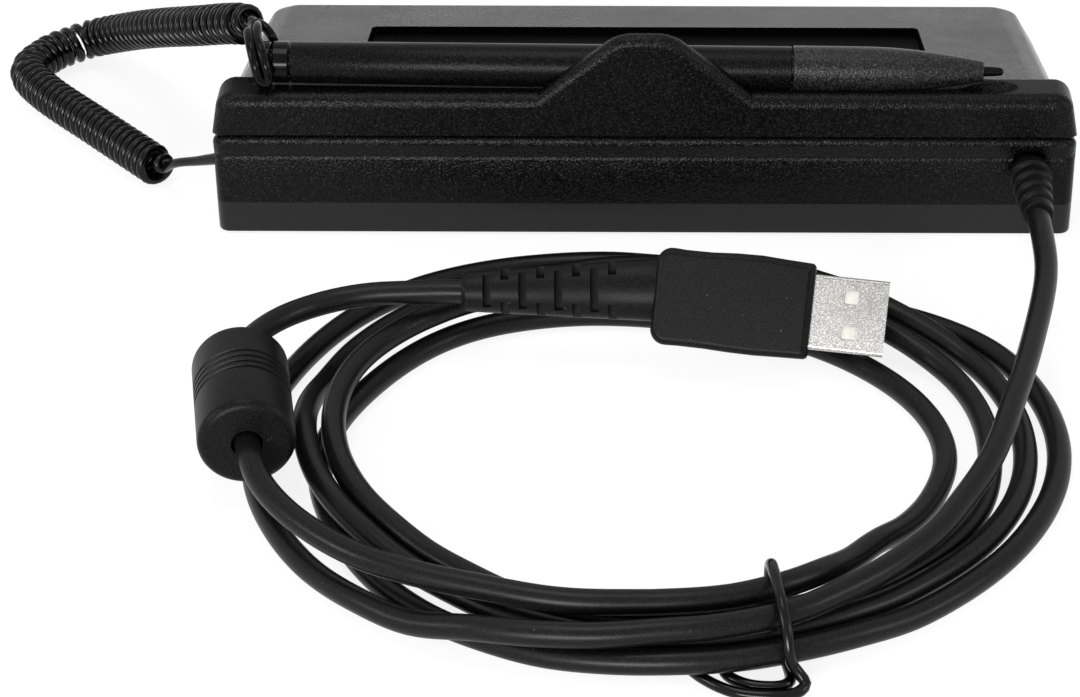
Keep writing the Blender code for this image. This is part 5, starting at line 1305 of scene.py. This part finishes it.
def make_plug_tongue():
    """The insert: a block at the back of the sleeve and the tongue that carries the contacts."""
    y, z = SLEEVE_HALF_Y - METAL - TONGUE_GAP, SLEEVE_HALF_Z - METAL - SLACK
    end = SLEEVE_BACK + TONGUE_BLOCK
    bm = bmesh.new()
    box(bm, (SLEEVE_BACK + SLACK, -y, -z), (end, y, z))
    tip = (SLEEVE_FRONT - TONGUE_SHORT, -y + TONGUE_THICKNESS, z - SLACK)
    box(bm, (end - SHELL_EDGE, -y, -z + SLACK), tip)
    tips = edges_where(bm, lambda a, b: min(a.x, b.x) > SLEEVE_FRONT - MILLIMETRE)
    bevel(bm, tips, TONGUE_EDGE, 2)
    tongue = finished("plug_tongue", bm, IVORY)
    tongue.data.transform(plug_matrix())
    return fit(tongue, "housing", "insert", "plug_insert")


# Stage

def background_rays(tree):
    """1 for the rays that show the background: from the camera, off gloss and through glass."""
    rays = node(tree, "ShaderNodeLightPath")
    direct = node(tree, "ShaderNodeMath", operation="MAXIMUM")
    shown = node(tree, "ShaderNodeMath", operation="MAXIMUM")
    join(rays, "Is Camera Ray", direct, 0)
    join(rays, "Is Glossy Ray", direct, 1)
    join(direct, "Value", shown, 0)
    join(rays, "Is Transmission Ray", shown, 1)
    return shown


def make_floor():
    bm = bmesh.new()
    bmesh.ops.create_grid(bm, x_segments=1, y_segments=1, size=FLOOR_SIZE)
    floor = finished("floor", bm, None)
    floor.location.z = -FLOOR_BELOW
    material = bpy.data.materials.new("floor")
    material.use_nodes = True
    tree = material.node_tree
    shader = tree.nodes["Principled BSDF"]
    put(shader, {"Base Color": (*grey(FLOOR_COLOUR), 1.0), "Roughness": 0.9})
    put(shader, {"Specular IOR Level": 0.0, "Emission Color": (1.0, 1.0, 1.0, 1.0)})
    glow = node(tree, "ShaderNodeMath", {1: FLOOR_GLOW}, operation="MULTIPLY")
    join(background_rays(tree), "Value", glow, 0)
    join(glow, "Value", shader, "Emission Strength")
    material.cycles.emission_sampling = "NONE"
    floor.data.materials.append(material)


def make_world():
    world = bpy.data.worlds.new("studio")
    bpy.context.scene.world = world
    world.use_nodes = True
    tree = world.node_tree
    tree.nodes.clear()
    strength = node(tree, "ShaderNodeMix", {"A": SKY_FILL, "B": 1.0}, data_type="FLOAT")
    sky = node(tree, "ShaderNodeBackground")
    out = node(tree, "ShaderNodeOutputWorld")
    join(background_rays(tree), "Value", strength, "Factor")
    join(strength, "Result", sky, "Strength")
    join(sky, "Background", out, "Surface")


def area_light(name, place, target, size, power):
    data = bpy.data.lights.new(name, "AREA")
    data.shape = "RECTANGLE"
    data.size, data.size_y = size
    data.energy = power
    lamp = link(bpy.data.objects.new(name, data))
    lamp.visible_camera = False
    place = Vector(place)
    lamp.location = place
    lamp.rotation_euler = (Vector(target) - place).to_track_quat("-Z", "Y").to_euler()


def main():
    make_camera()
    cable, line = make_cable()
    make_tether()
    pieces = [make_tie(), make_boot(), make_bead(), make_plug_body()]
    pieces += [make_plug_sleeve(), make_plug_tongue()]
    make_hitch()
    make_pen()
    make_upper_shell()
    make_lower_shell()
    finish_nodes()
    make_floor()
    make_world()
    for lamp in LAMPS:
        area_light(*lamp)
    bpy.context.scene.view_settings.view_transform = "Standard"


main()
